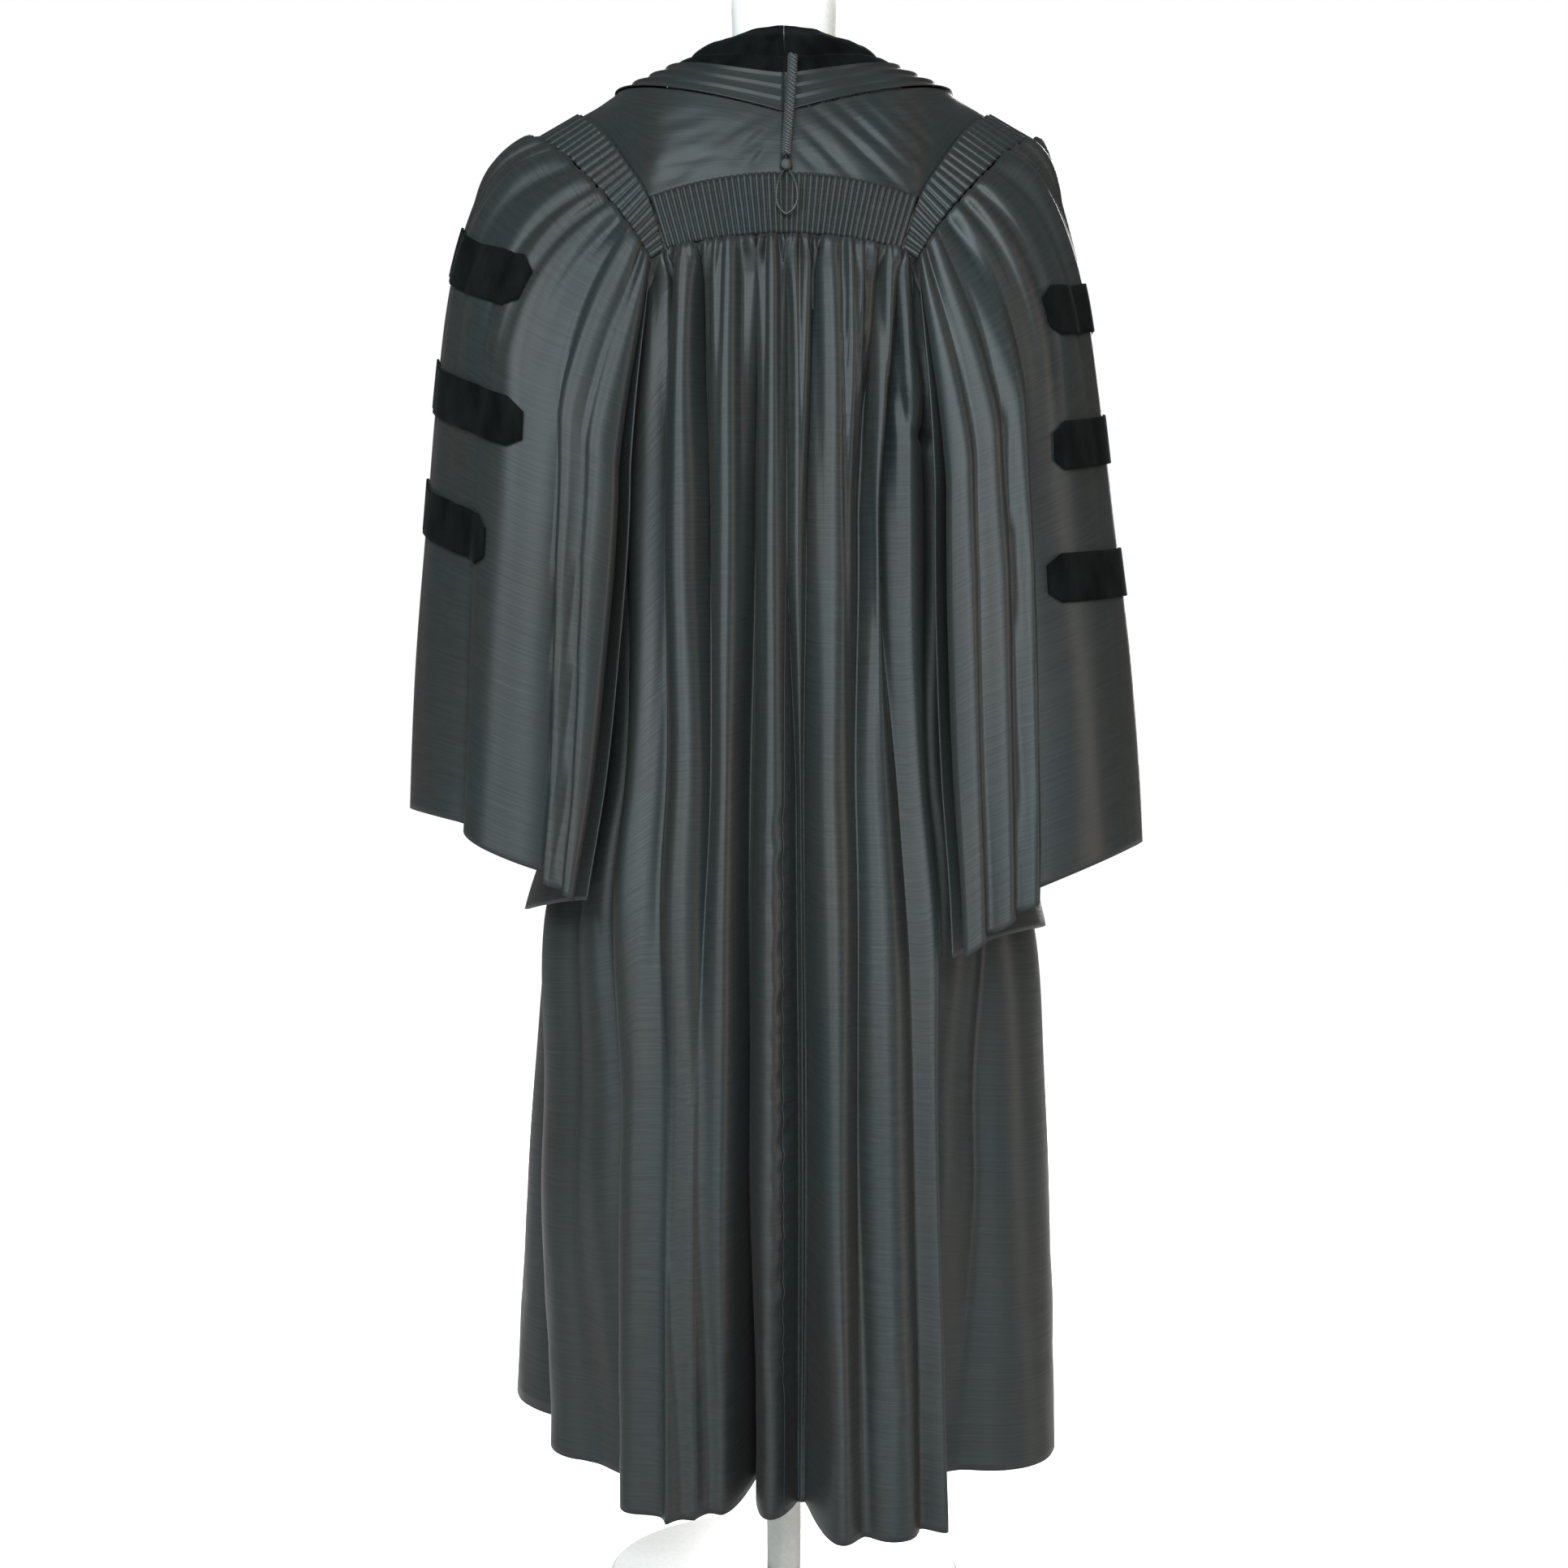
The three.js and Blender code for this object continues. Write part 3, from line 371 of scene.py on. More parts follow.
def on_gown(angle, z):
    grown = ease((top_height(angle) - z) / RELEASE)
    return polar(ring_radius("body", angle, z) + grown * fold_out(angle, z), angle, z)


def outward(p):
    up = max(0, p.z - 1250)
    return Vector((p.x / 200**2, p.y / 140**2, up / 170**2)).normalized()


def smooth_line(points):
    """Smooth curve through points, as a function of the share along it."""
    knots = [Vector(p) for p in points]
    knots = [2 * knots[0] - knots[1], *knots, 2 * knots[-1] - knots[-2]]
    spans = len(points) - 1

    def at(share):
        i = min(int(share * spans), spans - 1)
        t = share * spans - i
        p0, p1, p2, p3 = knots[i : i + 4]
        d0, d1, d2 = (max((b - a).length, 1e-4) ** 0.5 for a, b in ((p0, p1), (p1, p2), (p2, p3)))
        m1 = ((p1 - p0) / d0 - (p2 - p0) / (d0 + d1) + (p2 - p1) / d1) * d1
        m2 = ((p2 - p1) / d1 - (p3 - p1) / (d1 + d2) + (p3 - p2) / d2) * d1
        return p1 + m1 * t + (3 * (p2 - p1) - 2 * m1 - m2) * t**2 + (2 * (p1 - p2) + m1 + m2) * t**3

    return at


armhole = smooth_line(ARMHOLE)
head_edge = smooth_line(HEAD)
neckline = smooth_line(NECKLINE)
velvet_front = smooth_line(VELVET_FRONT)


def neck_ring(ring):
    def at(share):
        angle = 90 * share
        x = max(ring.side * sin_deg(angle), SEAM / 2)
        y = min(-ring.back * cos_deg(angle), -SEAM / 2)
        return Vector((x, y, mix(ring.z_back, ring.z_side, sin_deg(angle) ** ring.bend)))

    return at


def yoke_edge(share):
    """Lower edge of the yoke: along the fluting to the corner, then up the armhole."""
    if share > 0.5:
        p = armhole(mix(CORNER, SHOULDER, (share - 0.5) * 2))
        p.y = min(p.y, -SEAM / 2)
        return p
    t = share * 2
    y = mix(YOKE_CENTRE[1], YOKE_CORNER[1], t * t) - FLUTES_TOP_BOW * t * (1 - t)
    return Vector((max(mix(0, YOKE_CORNER[0], t), SEAM / 2), y, mix(YOKE_CENTRE[2], YOKE_CORNER[2], t * t)))


def tuck_lift(v):
    """Saw-tooth of the overlapping tucks across their width."""
    return TUCK_LIFT * (((v * TUCKS - 0.01 + TUCKS) % 1) + 0.01) ** 1.5


def front_angle(x, z):
    """Angle on the front of a ring where it is a given distance from the centre."""
    low, high = 90.0, 180.0
    for _ in range(24):
        a = (low + high) / 2
        if ring_radius("body", a, z) * sin_deg(a) > x:
            low = a
        else:
            high = a
    return low


def underarm_angle(z):
    (side, z_side), (rise, z_rise), (front, z_front) = UNDERARM[-3:]
    if z <= z_side:
        return side
    if z <= z_rise:
        return mix(side, rise, (z - z_side) / (z_rise - z_side))
    return mix(rise, front, (z - z_rise) / (z_front - z_rise))


def underarm_point(t):
    """Lower half of the armhole, from the front edge (0) under the arm to the back edge (1)."""
    angle = mix(UNDERARM[-1][0], UNDERARM[0][0], t)
    z = top_height(angle)
    p = polar(ring_radius("body", angle, z) + 2 * SEAM, angle, z)
    return p.lerp(Vector(HEAD[-1]), ease(1 - t * 6)).lerp(Vector(HEAD[0]), ease(t * 6 - 5))


def sleeve_fold(sleeve, t, drop):
    """Folds of the sleeve's outer layer, at head, elbow and cuff."""

    def along(values):
        if drop < 0.5:
            return mix(values[0], values[1], drop * 2)
        return mix(values[1], values[2], drop * 2 - 1)

    rows = [(0, 0), *((along(at), along(deep)) for at, deep in sleeve.valleys), (1, 0)]
    for (low, deep_low), (high, deep_high) in zip(rows, rows[1:]):
        if t < high:
            s = (t - low) / (high - low)
            return -(1 - rolled(s)) * mix(deep_low, deep_high, s)
    return 0


def sleeve_point(side, share, drop):
    """A point of a right-hand sleeve: 0 back edge, 0.25 outside, 0.5 front edge, 0.75 inside."""
    sleeve = SLEEVES[side]
    outer = share <= 0.5
    t = share * 2 if outer else (1 - share) * 2
    start = head_edge(t) if outer else underarm_point(1 - t)
    lift = math.sin(math.pi * t)
    cuff = mix(mix(sleeve.back, sleeve.front, t), sleeve.outer if outer else sleeve.inner, lift)
    head = clamp(drop / CAP)
    z = mix(start.z, cuff, drop - CAP * ROUND * lift * math.sin(math.pi * head))
    angle = mix(column(side, "back", z), column(side, "front", z), t)
    inside = ring_radius("body", angle, z) + CLEAR + TIP_LIFT * (1 - t) ** 6
    reach = column(side, "reach", z) - ring_radius("body", 84, z) - CLEAR
    bell = TIP + (reach - TIP) * max(lift, 0) ** 0.8
    p = polar(inside + (bell + sleeve_fold(sleeve, t, drop) if outer else 0), angle, z)
    grown = 1 - (1 - clamp(drop / mix(BACK_CAP, CAP, lift))) ** mix(BACK_SWELL, SWELL, lift)
    p.x = mix(start.x, p.x, grown)
    p.y = mix(start.y, p.y, grown)
    return p


# Finishes


def linear(hex_colour):
    """sRGB hex colour as linear red, green, blue and alpha."""
    parts = [int(hex_colour[i : i + 2], 16) / 255 for i in (1, 3, 5)]
    return [c / 12.92 if c <= 0.04045 else ((c + 0.055) / 1.055) ** 2.4 for c in parts] + [1.0]


def add_node(tree, kind, inputs=None, links=None, **settings):
    """Adds a node with its settings, its socket values and its links."""
    made = tree.nodes.new(kind)
    for name, value in settings.items():
        setattr(made, name, value)
    for socket, value in (inputs or {}).items():
        made.inputs[socket].default_value = value
    for socket, source in (links or {}).items():
        tree.links.new(source, made.inputs[socket])
    return made


def finish_of(name, inputs):
    """New material with a shader of the given constants."""
    made = bpy.data.materials.new(name)
    made.use_nodes = True
    shader = made.node_tree.nodes["Principled BSDF"]
    for socket, value in inputs.items():
        shader.inputs[socket].default_value = value
    return made, made.node_tree, shader


def colour_ramp(tree, source, stops):
    made = add_node(tree, "ShaderNodeValToRGB", links={"Fac": source})
    for stop, (place, colour) in zip(made.color_ramp.elements, stops):
        stop.position = place
        stop.color = linear(colour)
    return made


def silk_faille():
    """Silk faille, woven with a fine cross rib: light runs along the folds in watery bands, and the colour
    has painted sheen streaks and painted shade along the rib hollows.
    """
    made, tree, shader = finish_of(
        "silk_faille",
        {
            "Roughness": 0.46,
            "Anisotropic": 0.7,
            "Anisotropic Rotation": 0.25,
            "Specular IOR Level": 0.34,
            "Sheen Weight": 0.12,
            "Sheen Roughness": 0.45,
            "Sheen Tint": linear("#8a8076"),
        },
    )
    uv = add_node(tree, "ShaderNodeUVMap", uv_map="cloth")
    # ribs are drawn 2.2 mm apart and broken up, as coarse as they need to be to show
    ribs_at = add_node(
        tree, "ShaderNodeMapping", {"Scale": (1 / 0.045, 1 / 0.0022, 1)}, {"Vector": uv.outputs[0]}
    )
    ribs = add_node(tree, "ShaderNodeTexNoise", {"Scale": 1, "Detail": 2}, {"Vector": ribs_at.outputs[0]})
    slubs_at = add_node(
        tree, "ShaderNodeMapping", {"Scale": (1 / 0.12, 1 / 0.007, 1)}, {"Vector": uv.outputs[0]}
    )
    slubs = add_node(tree, "ShaderNodeTexNoise", {"Scale": 1, "Detail": 1}, {"Vector": slubs_at.outputs[0]})
    painted_sheen_at = add_node(
        tree, "ShaderNodeMapping", {"Scale": (1 / 0.05, 1 / 0.22, 1)}, {"Vector": uv.outputs[0]}
    )
    painted_sheen = add_node(tree, "ShaderNodeTexNoise", {"Scale": 1, "Detail": 3}, {"Vector": painted_sheen_at.outputs[0]})
    # painted sheen and shade: long vertical streaks, cool grey-green or warm brown at random, stand in for
    # the sheen bands on the folds and the warm shade of folds turned away
    tone = colour_ramp(tree, painted_sheen.outputs[0], [(0.3, "#2b2b29"), (0.7, "#262d2e")])
    # painted shade: the colour darkens where the rib bump is low, along the hollows between the ribs
    rib_shade = colour_ramp(tree, ribs.outputs[0], [(0.3, "#b8b8b8"), (0.7, "#ffffff")])
    tint = add_node(
        tree,
        "ShaderNodeMix",
        data_type="RGBA",
        blend_type="MULTIPLY",
        inputs={0: 0.6},
        links={6: tone.outputs[0], 7: rib_shade.outputs[0]},
    )
    # the base colour carries the painted sheen streaks and the painted shade of the rib hollows
    tree.links.new(tint.outputs[2], shader.inputs["Base Color"])
    rib_bump = add_node(
        tree, "ShaderNodeBump", {"Strength": 0.35, "Distance": 0.0006}, {"Height": ribs.outputs[0]}
    )
    slub_bump = add_node(
        tree,
        "ShaderNodeBump",
        {"Strength": 0.3, "Distance": 0.0012},
        {"Height": slubs.outputs[0], "Normal": rib_bump.outputs[0]},
    )
    tree.links.new(slub_bump.outputs[0], shader.inputs["Normal"])
    tangent = add_node(tree, "ShaderNodeTangent", direction_type="UV_MAP", uv_map="cloth")
    tree.links.new(tangent.outputs[0], shader.inputs["Tangent"])
    return made


def silk_velvet():
    """Silk velvet: a deep black pile that lights up only where it turns away or is brushed."""
    made, tree, shader = finish_of(
        "silk_velvet",
        {
            "Roughness": 1.0,
            "Specular IOR Level": 0.05,
            "Sheen Weight": 0.35,
            "Sheen Roughness": 0.3,
            "Sheen Tint": linear("#59605e"),
        },
    )
    place = add_node(tree, "ShaderNodeTexCoord")
    brushed_at = add_node(
        tree,
        "ShaderNodeMapping",
        {"Scale": (1 / 0.02, 1 / 0.02, 1 / 0.05)},
        {"Vector": place.outputs["Object"]},
    )
    brushed = add_node(
        tree, "ShaderNodeTexNoise", {"Scale": 1, "Detail": 4}, {"Vector": brushed_at.outputs[0]}
    )
    tone = colour_ramp(tree, brushed.outputs[0], [(0.3, "#070808"), (0.75, "#141716")])
    tree.links.new(tone.outputs[0], shader.inputs["Base Color"])
    pile = add_node(
        tree, "ShaderNodeTexNoise", {"Scale": 1 / 0.0012, "Detail": 1}, {"Vector": place.outputs["Object"]}
    )
    nap = add_node(
        tree, "ShaderNodeBump", {"Strength": 0.5, "Distance": 0.0008}, {"Height": pile.outputs[0]}
    )
    tree.links.new(nap.outputs[0], shader.inputs["Normal"])
    return made


def twisted_cord():
    """Twisted silk cord: small strands with painted highlights on them and painted shade in the grooves
    between them.
    """
    made, tree, shader = finish_of(
        "twisted_cord", {"Roughness": 0.5, "Sheen Weight": 0.15, "Sheen Tint": linear("#7d7a74")}
    )
    place = add_node(tree, "ShaderNodeTexCoord")
    turned = add_node(
        tree,
        "ShaderNodeMapping",
        {"Rotation": (0, math.radians(35), 0)},
        {"Vector": place.outputs["Object"]},
    )
    # strands of the ply, 1.1 mm apart
    ply = add_node(
        tree,
        "ShaderNodeTexWave",
        {"Scale": 1 / 0.0011 / 20 * math.pi, "Distortion": 0.6, "Detail": 1},
        {"Vector": turned.outputs[0]},
        bands_direction="Z",
    )
    # painted highlight and shade: the colour is lighter on the strands and darker in the grooves, where the
    # bump is low
    tone = colour_ramp(tree, ply.outputs[0], [(0.1, "#17191a"), (0.8, "#3b3f40")])
    tree.links.new(tone.outputs[0], shader.inputs["Base Color"])
    groove = add_node(
        tree, "ShaderNodeBump", {"Strength": 0.6, "Distance": 0.0005}, {"Height": ply.outputs[0]}
    )
    tree.links.new(groove.outputs[0], shader.inputs["Normal"])
    return made


def cotton_jersey():
    """Knitted cotton jersey cover: white and matte, with a fine vertical stitch."""
    made, tree, shader = finish_of(
        "cotton_jersey", {"Roughness": 0.9, "Sheen Weight": 0.2, "Sheen Roughness": 0.5}
    )
    place = add_node(tree, "ShaderNodeTexCoord")
    # wales 1.5 mm apart, drawn coarse enough to show
    knit_at = add_node(
        tree,
        "ShaderNodeMapping",
        {"Scale": (1 / 0.0015, 1 / 0.0015, 1 / 0.004)},
        {"Vector": place.outputs["Object"]},
    )
    knit = add_node(tree, "ShaderNodeTexNoise", {"Scale": 1, "Detail": 1}, {"Vector": knit_at.outputs[0]})
    tone = colour_ramp(tree, knit.outputs[0], [(0.3, "#e4e3de"), (0.7, "#f6f5f1")])
    tree.links.new(tone.outputs[0], shader.inputs["Base Color"])
    stitch = add_node(
        tree, "ShaderNodeBump", {"Strength": 0.2, "Distance": 0.0004}, {"Height": knit.outputs[0]}
    )
    tree.links.new(stitch.outputs[0], shader.inputs["Normal"])
    return made


def enamelled_steel():
    """White baked enamel on steel: an even satin skin with a faint orange-peel ripple."""
    made, tree, shader = finish_of("enamelled_steel", {"Coat Weight": 0.3, "Coat Roughness": 0.2})
    place = add_node(tree, "ShaderNodeTexCoord")
    peel = add_node(
        tree, "ShaderNodeTexNoise", {"Scale": 1 / 0.004, "Detail": 2}, {"Vector": place.outputs["Object"]}
    )
    tone = colour_ramp(tree, peel.outputs[0], [(0.3, "#dededa"), (0.7, "#e9e9e6")])
    tree.links.new(tone.outputs[0], shader.inputs["Base Color"])
    gloss = add_node(
        tree, "ShaderNodeMapRange", {"To Min": 0.35, "To Max": 0.5}, {"Value": peel.outputs[0]}
    )
    tree.links.new(gloss.outputs[0], shader.inputs["Roughness"])
    ripple = add_node(
        tree, "ShaderNodeBump", {"Strength": 0.08, "Distance": 0.0004}, {"Height": peel.outputs[0]}
    )
    tree.links.new(ripple.outputs[0], shader.inputs["Normal"])
    return made


def satin_brass():
    """Spun brass, dulled by handling: warm metal with fine turning lines."""
    made, tree, shader = finish_of("satin_brass", {"Metallic": 1.0})
    place = add_node(tree, "ShaderNodeTexCoord")
    lines = add_node(
        tree,
        "ShaderNodeTexWave",
        {"Scale": 1 / 0.0015 / 20 * math.pi, "Distortion": 1.5, "Detail": 2},
        {"Vector": place.outputs["Object"]},
        wave_type="RINGS",
        rings_direction="Z",
    )
    tone = colour_ramp(tree, lines.outputs[0], [(0.1, "#7d683a"), (0.9, "#a38a52")])
    tree.links.new(tone.outputs[0], shader.inputs["Base Color"])
    gloss = add_node(
        tree, "ShaderNodeMapRange", {"To Min": 0.3, "To Max": 0.45}, {"Value": lines.outputs[0]}
    )
    tree.links.new(gloss.outputs[0], shader.inputs["Roughness"])
    return made


LOOKS = {
    "silk": silk_faille(),
    "velvet": silk_velvet(),
    "braid": twisted_cord(),
    "form_jersey": cotton_jersey(),
    "stand_steel": enamelled_steel(),
    "cap_brass": satin_brass(),
}


# Making


def keep(data, name, slot, nodes):
    """Object at the origin, riding on the body and standing for its CAD nodes."""
    piece = bpy.data.objects.new(name, data)
    bpy.context.scene.collection.objects.link(piece)
    data.materials.append(LOOKS[slot])
    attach(piece, "root")
    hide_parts(*nodes)
    return piece


def cloth(node, slot, cols, rows, place, size, away, detail=None, thick=SILK, closed=False, relax=0):
    """Sheet of cloth: a grid shaped by place(u, v), raised along its normals by detail(u, v, point).

    size is its width and length in millimetres, away(point) tells which way is out, and relax
    smooths its inside so many times."""
    shape = bmesh.new()
    bmesh.ops.create_grid(shape, x_segments=cols, y_segments=rows, size=0.5)
    threads = shape.loops.layers.uv.new("cloth")
    across = shape.verts.layers.float.new("across")
    down = shape.verts.layers.float.new("down")
    for vert in shape.verts:
        vert[across], vert[down] = vert.co.x + 0.5, 0.5 - vert.co.y
    for face in shape.faces:
        face.smooth = True
        for loop in face.loops:
            loop[threads].uv = (loop.vert[across] * size[0] * MM, -loop.vert[down] * size[1] * MM)
    for vert in shape.verts:
        vert.co = place(vert[across], vert[down])
    if closed:
        bmesh.ops.remove_doubles(shape, verts=shape.verts, dist=0.01)
    inside = [vert for vert in shape.verts if not vert.is_boundary]
    for _ in range(relax):
        bmesh.ops.smooth_vert(
            shape, verts=inside, factor=0.5, use_axis_x=True, use_axis_y=True, use_axis_z=True
        )
    shape.normal_update()
    if sum(vert.normal.dot(away(vert.co)) for vert in shape.verts) < 0:
        bmesh.ops.reverse_faces(shape, faces=shape.faces)
        shape.normal_update()
    if detail:
        raised = [vert.normal * detail(vert[across], vert[down], vert.co) for vert in shape.verts]
        for vert, step in zip(shape.verts, raised):
            vert.co += step
    shape.verts.layers.float.remove(shape.verts.layers.float["across"])
    shape.verts.layers.float.remove(shape.verts.layers.float["down"])
    bmesh.ops.scale(shape, vec=(MM, MM, MM), verts=shape.verts)
    data = bpy.data.meshes.new(node)
    shape.to_mesh(data)
    shape.free()
    piece = keep(data, f"{node}_cloth", slot, [node])
    wall = piece.modifiers.new("wall", "SOLIDIFY")
    wall.thickness = thick * MM
    wall.offset = -1
    return piece


def spun(node, slot, profile, place=(0, 0, 0), turn=None, steps=64, edge=0.6):
    """Turned piece: a profile of radius and height spun about its axis, with softened edges."""
    shape = bmesh.new()
    points = [shape.verts.new((r, 0, z)) for r, z in profile]
    lines = [shape.edges.new(pair) for pair in zip(points, points[1:])]
    bmesh.ops.spin(
        shape,
        geom=points + lines,
        cent=(0, 0, 0),
        axis=(0, 0, 1),
        angle=2 * math.pi,
        steps=steps,
        use_merge=True,
    )
    bmesh.ops.remove_doubles(shape, verts=shape.verts, dist=0.001)
    bmesh.ops.recalc_face_normals(shape, faces=shape.faces)
    sharp = [e for e in shape.edges if e.is_manifold and e.calc_face_angle() > math.radians(25)]
    bmesh.ops.bevel(
        shape, geom=sharp, offset=edge, segments=3, profile=0.5, affect="EDGES", material=-1
    )
    for face in shape.faces:
        face.smooth = True
    if turn:
        bmesh.ops.rotate(shape, cent=(0, 0, 0), matrix=turn, verts=shape.verts)
    bmesh.ops.translate(shape, vec=place, verts=shape.verts)
    bmesh.ops.scale(shape, vec=(MM, MM, MM), verts=shape.verts)
    threads = shape.loops.layers.uv.new("cloth")
    for face in shape.faces:
        for loop in face.loops:
            loop[threads].uv = (loop.vert.co.x, loop.vert.co.z)
    data = bpy.data.meshes.new(node)
    shape.to_mesh(data)
    shape.free()
    return keep(data, f"{node}_turned", slot, [node])


def strands(node, slot, routes, radius):
    """Round cords along routes, as one curve object."""
    data = bpy.data.curves.new(node, "CURVE")
    data.dimensions = "3D"
    data.bevel_depth = radius * MM
    data.bevel_resolution = 3
    data.use_fill_caps = True
    for route in routes:
        spline = data.splines.new("POLY")
        spline.points.add(len(route) - 1)
        for point, at in zip(spline.points, route):
            point.co = (*(at * MM), 1)
        spline.use_smooth = True
    return keep(data, f"{node}_cord", slot, [node])


def mirrored(place, side):
    """The same piece on the wearer's left or right."""
    flip = Vector((-1 if side == "left" else 1, 1, 1))
    return lambda u, v: place(u, v) * flip


def strip(first, second, bulge=None):
    """Cloth between two edges, given as functions of the share along them."""

    def place(u, v):
        p = first(u).lerp(second(u), mix(0.002, 0.998, v))
        return p + outward(p) * bulge(u, v) if bulge else p

    return place


def lofted(control):
    """Cloth along smooth lines through control(u)'s points, evenly spaced down the middle one."""
    middle = control(0.5)
    ends = [0.0]
    for a, b in zip(middle, middle[1:]):
        ends.append(ends[-1] + (b - a).length)
    lines = {}

    def share_at(v):
        reach = v * ends[-1]
        for i, (low, high) in enumerate(zip(ends, ends[1:])):
            if reach <= high:
                return (i + (reach - low) / (high - low)) / (len(ends) - 1)
        return 1.0

    def place(u, v):
        key = round(u, 5)
        if key not in lines:
            lines[key] = smooth_line(control(u))
        return lines[key](share_at(v))

    return place


# Creases and small folds

Crease = namedtuple("Crease", "x0 z0 x1 z1 wide deep")


def creased(rows, x, z):
    """Depth of soft straight troughs, seen square from the back. A negative depth is a ridge."""
    total = 0.0
    for row in rows:
        run_x, run_z = row.x1 - row.x0, row.z1 - row.z0
        length = run_x**2 + run_z**2
        t = ((x - row.x0) * run_x + (z - row.z0) * run_z) / length
        if not -0.3 < t < 1.3:
            continue
        near = clamp(t)
        gap = (x - row.x0 - near * run_x) ** 2 + (z - row.z0 - near * run_z) ** 2
        if gap < 9 * row.wide**2:
            total -= row.deep * math.exp(-gap / row.wide**2) * (0.35 + 0.65 * math.sin(math.pi * near))
    return total


def flute(n):
    """Round flute profile: n counts the flutes."""
    return FLUTE_HEIGHT * abs(math.sin(math.pi * n)) ** 0.5


def released(drop, rise, fall):
    """Strength of a fold that starts at a gathered edge and dies out further down."""
    return (1 - math.exp(-drop / rise)) * math.exp(-drop / fall)


def gathers(n, drop):
    """Knuckles that leave a row of flutes, and the folds that they run together into."""
    drop = max(drop, 0)
    knuckle = rolled((n / 2.7 + 0.3 * math.sin(n * 0.7)) % 1) - 0.4
    merged = rolled((n / 6.3 + 0.3 * math.sin(n * 0.31 + 1)) % 1) - 0.5
    return (
        flute(n) * math.exp(-drop / 7)
        + (4 + 9 * knuckle) * released(drop, 7, 85)
        + 9 * merged * released(drop, 45, 170)
        + (3 + 5 * knuckle) * math.exp(-drop / 14)
    )


def slack(across, z, seed):
    """Uneven long ripples of hanging cloth."""
    broad = noise.noise((across * 0.018, z * 0.0025, seed))
    narrow = noise.noise((across * 0.06, z * 0.007, seed + 5))
    return 2.6 * broad + 0.7 * narrow


PINCH = [
    Crease(99, 1112, 112, 1076, 7, 4),
    Crease(112, 1072, 140, 1066, 6, 4),
    Crease(125, 1130, 134, 1084, 14, -5),
]
PUCKERS = [
    Crease(9, 733 - 17 * i, -9 - 5 * math.sin(i * 1.9), 720 - 17 * i + 4 * math.sin(i * 2.7), 4.5, 2.6)
    for i in range(30)
]
HEM_STITCH = 95  # height of the hem's stitch line over the hem


def body_detail(u, v, p):
    """Gathers under the fluting, ripples, the pinched drape, puckers and the hem's stitching."""
    angle = angle_of(p)
    drop = top_height(angle) - p.z
    n = (angle / (FLUTE_EDGE * FLUTES_SPAN) + 1) * BACK_FLUTES / 2
    inside = ease((FLUTE_EDGE + 4 - abs(angle)) / 4)
    around = math.radians(angle) * 180
    total = inside * gathers(n, drop) + ease(drop / 160) * slack(around, p.z, 1.0)
    if p.y < 0:
        total += creased(PINCH, p.x, p.z)
        if abs(p.x) < 40:
            total += creased(PUCKERS, p.x, p.z)
    over = p.z - hem_height(angle) - HEM_STITCH
    pucker = 0.6 + 0.8 * noise.noise((around * 0.09, 0, 3.0))
    total -= pucker * math.exp(-(over**2) / 9)
    total += 0.7 * noise.noise((around * 0.08, p.z * 0.02, 7.0)) * ease((HEM_STITCH + 40 - over) / 60)
    return total


# Camera, floor and light
camera = bpy.data.objects.new("camera", bpy.data.cameras.new("camera"))
camera.data.lens = LENS
camera.data.sensor_width = SENSOR
camera.location = EYE * MM
camera.rotation_euler = (math.pi / 2, 0, 0)
bpy.context.scene.collection.objects.link(camera)
bpy.context.scene.camera = camera

# Cord loop
loop_line = smooth_line([BUTTON_AT + Vector(p) for p in LOOP_ROUTE])
loop_points = [loop_line(i / 32) for i in range(33)]
loop_length = sum((b - a).length for a, b in zip(loop_points, loop_points[1:]))
loop = strands("hood_loop", "braid", [loop_points], LOOP_R)


def backdrop():
    """White paper floor that shows plain white to the camera."""
    shape = bmesh.new()
    bmesh.ops.create_grid(shape, x_segments=1, y_segments=1, size=14)
    data = bpy.data.meshes.new("floor")
    shape.to_mesh(data)
    shape.free()
    floor = bpy.data.objects.new("floor", data)
    bpy.context.scene.collection.objects.link(floor)
    made, tree, shader = finish_of(
        "white_paper",
        {"Base Color": linear("#e8e8e6"), "Roughness": 0.9, "Emission Color": linear("#ffffff")},
    )
    seen = add_node(tree, "ShaderNodeLightPath")
    tree.links.new(seen.outputs["Is Camera Ray"], shader.inputs["Emission Strength"])
    data.materials.append(made)


def softbox(name, place, aim, width, height, watts, colour):
    lamp = bpy.data.lights.new(name, "AREA")
    lamp.shape = "RECTANGLE"
    lamp.size, lamp.size_y = width, height
    lamp.energy = watts
    lamp.color = linear(colour)[:3]
    held = bpy.data.objects.new(name, lamp)
    held.location = place
    held.rotation_euler = (Vector(place) - Vector(aim)).to_track_quat("Z", "Y").to_euler()
    bpy.context.scene.collection.objects.link(held)


backdrop()
softbox("key", (-1.7, -3.0, 2.7), (0, 0, 1.0), 2.0, 2.0, 125, "#eefaff")
softbox("window", (0.2, -3.2, 2.1), (0, 0, 1.05), 1.4, 1.4, 85, "#eefaff")
softbox("fill", (2.7, -1.5, 1.3), (0, 0, 0.8), 1.0, 2.0, 26, "#ffe9d8")
softbox("front", (0.6, 3.2, 1.9), (0, 0, 0.9), 1.8, 2.2, 160, "#ffffff")
world = bpy.data.worlds.new("studio")
world.use_nodes = True
bpy.context.scene.world = world
sky = world.node_tree.nodes["Background"]
sky.inputs["Color"].default_value = linear("#ffffff")
sky.inputs["Strength"].default_value = 0.12
seen = add_node(world.node_tree, "ShaderNodeLightPath")
white = add_node(world.node_tree, "ShaderNodeBackground", {"Strength": 1.0, "Color": linear("#ffffff")})
blend = add_node(
    world.node_tree,
    "ShaderNodeMixShader",
    links={0: seen.outputs["Is Camera Ray"], 1: sky.outputs[0], 2: white.outputs[0]},
)
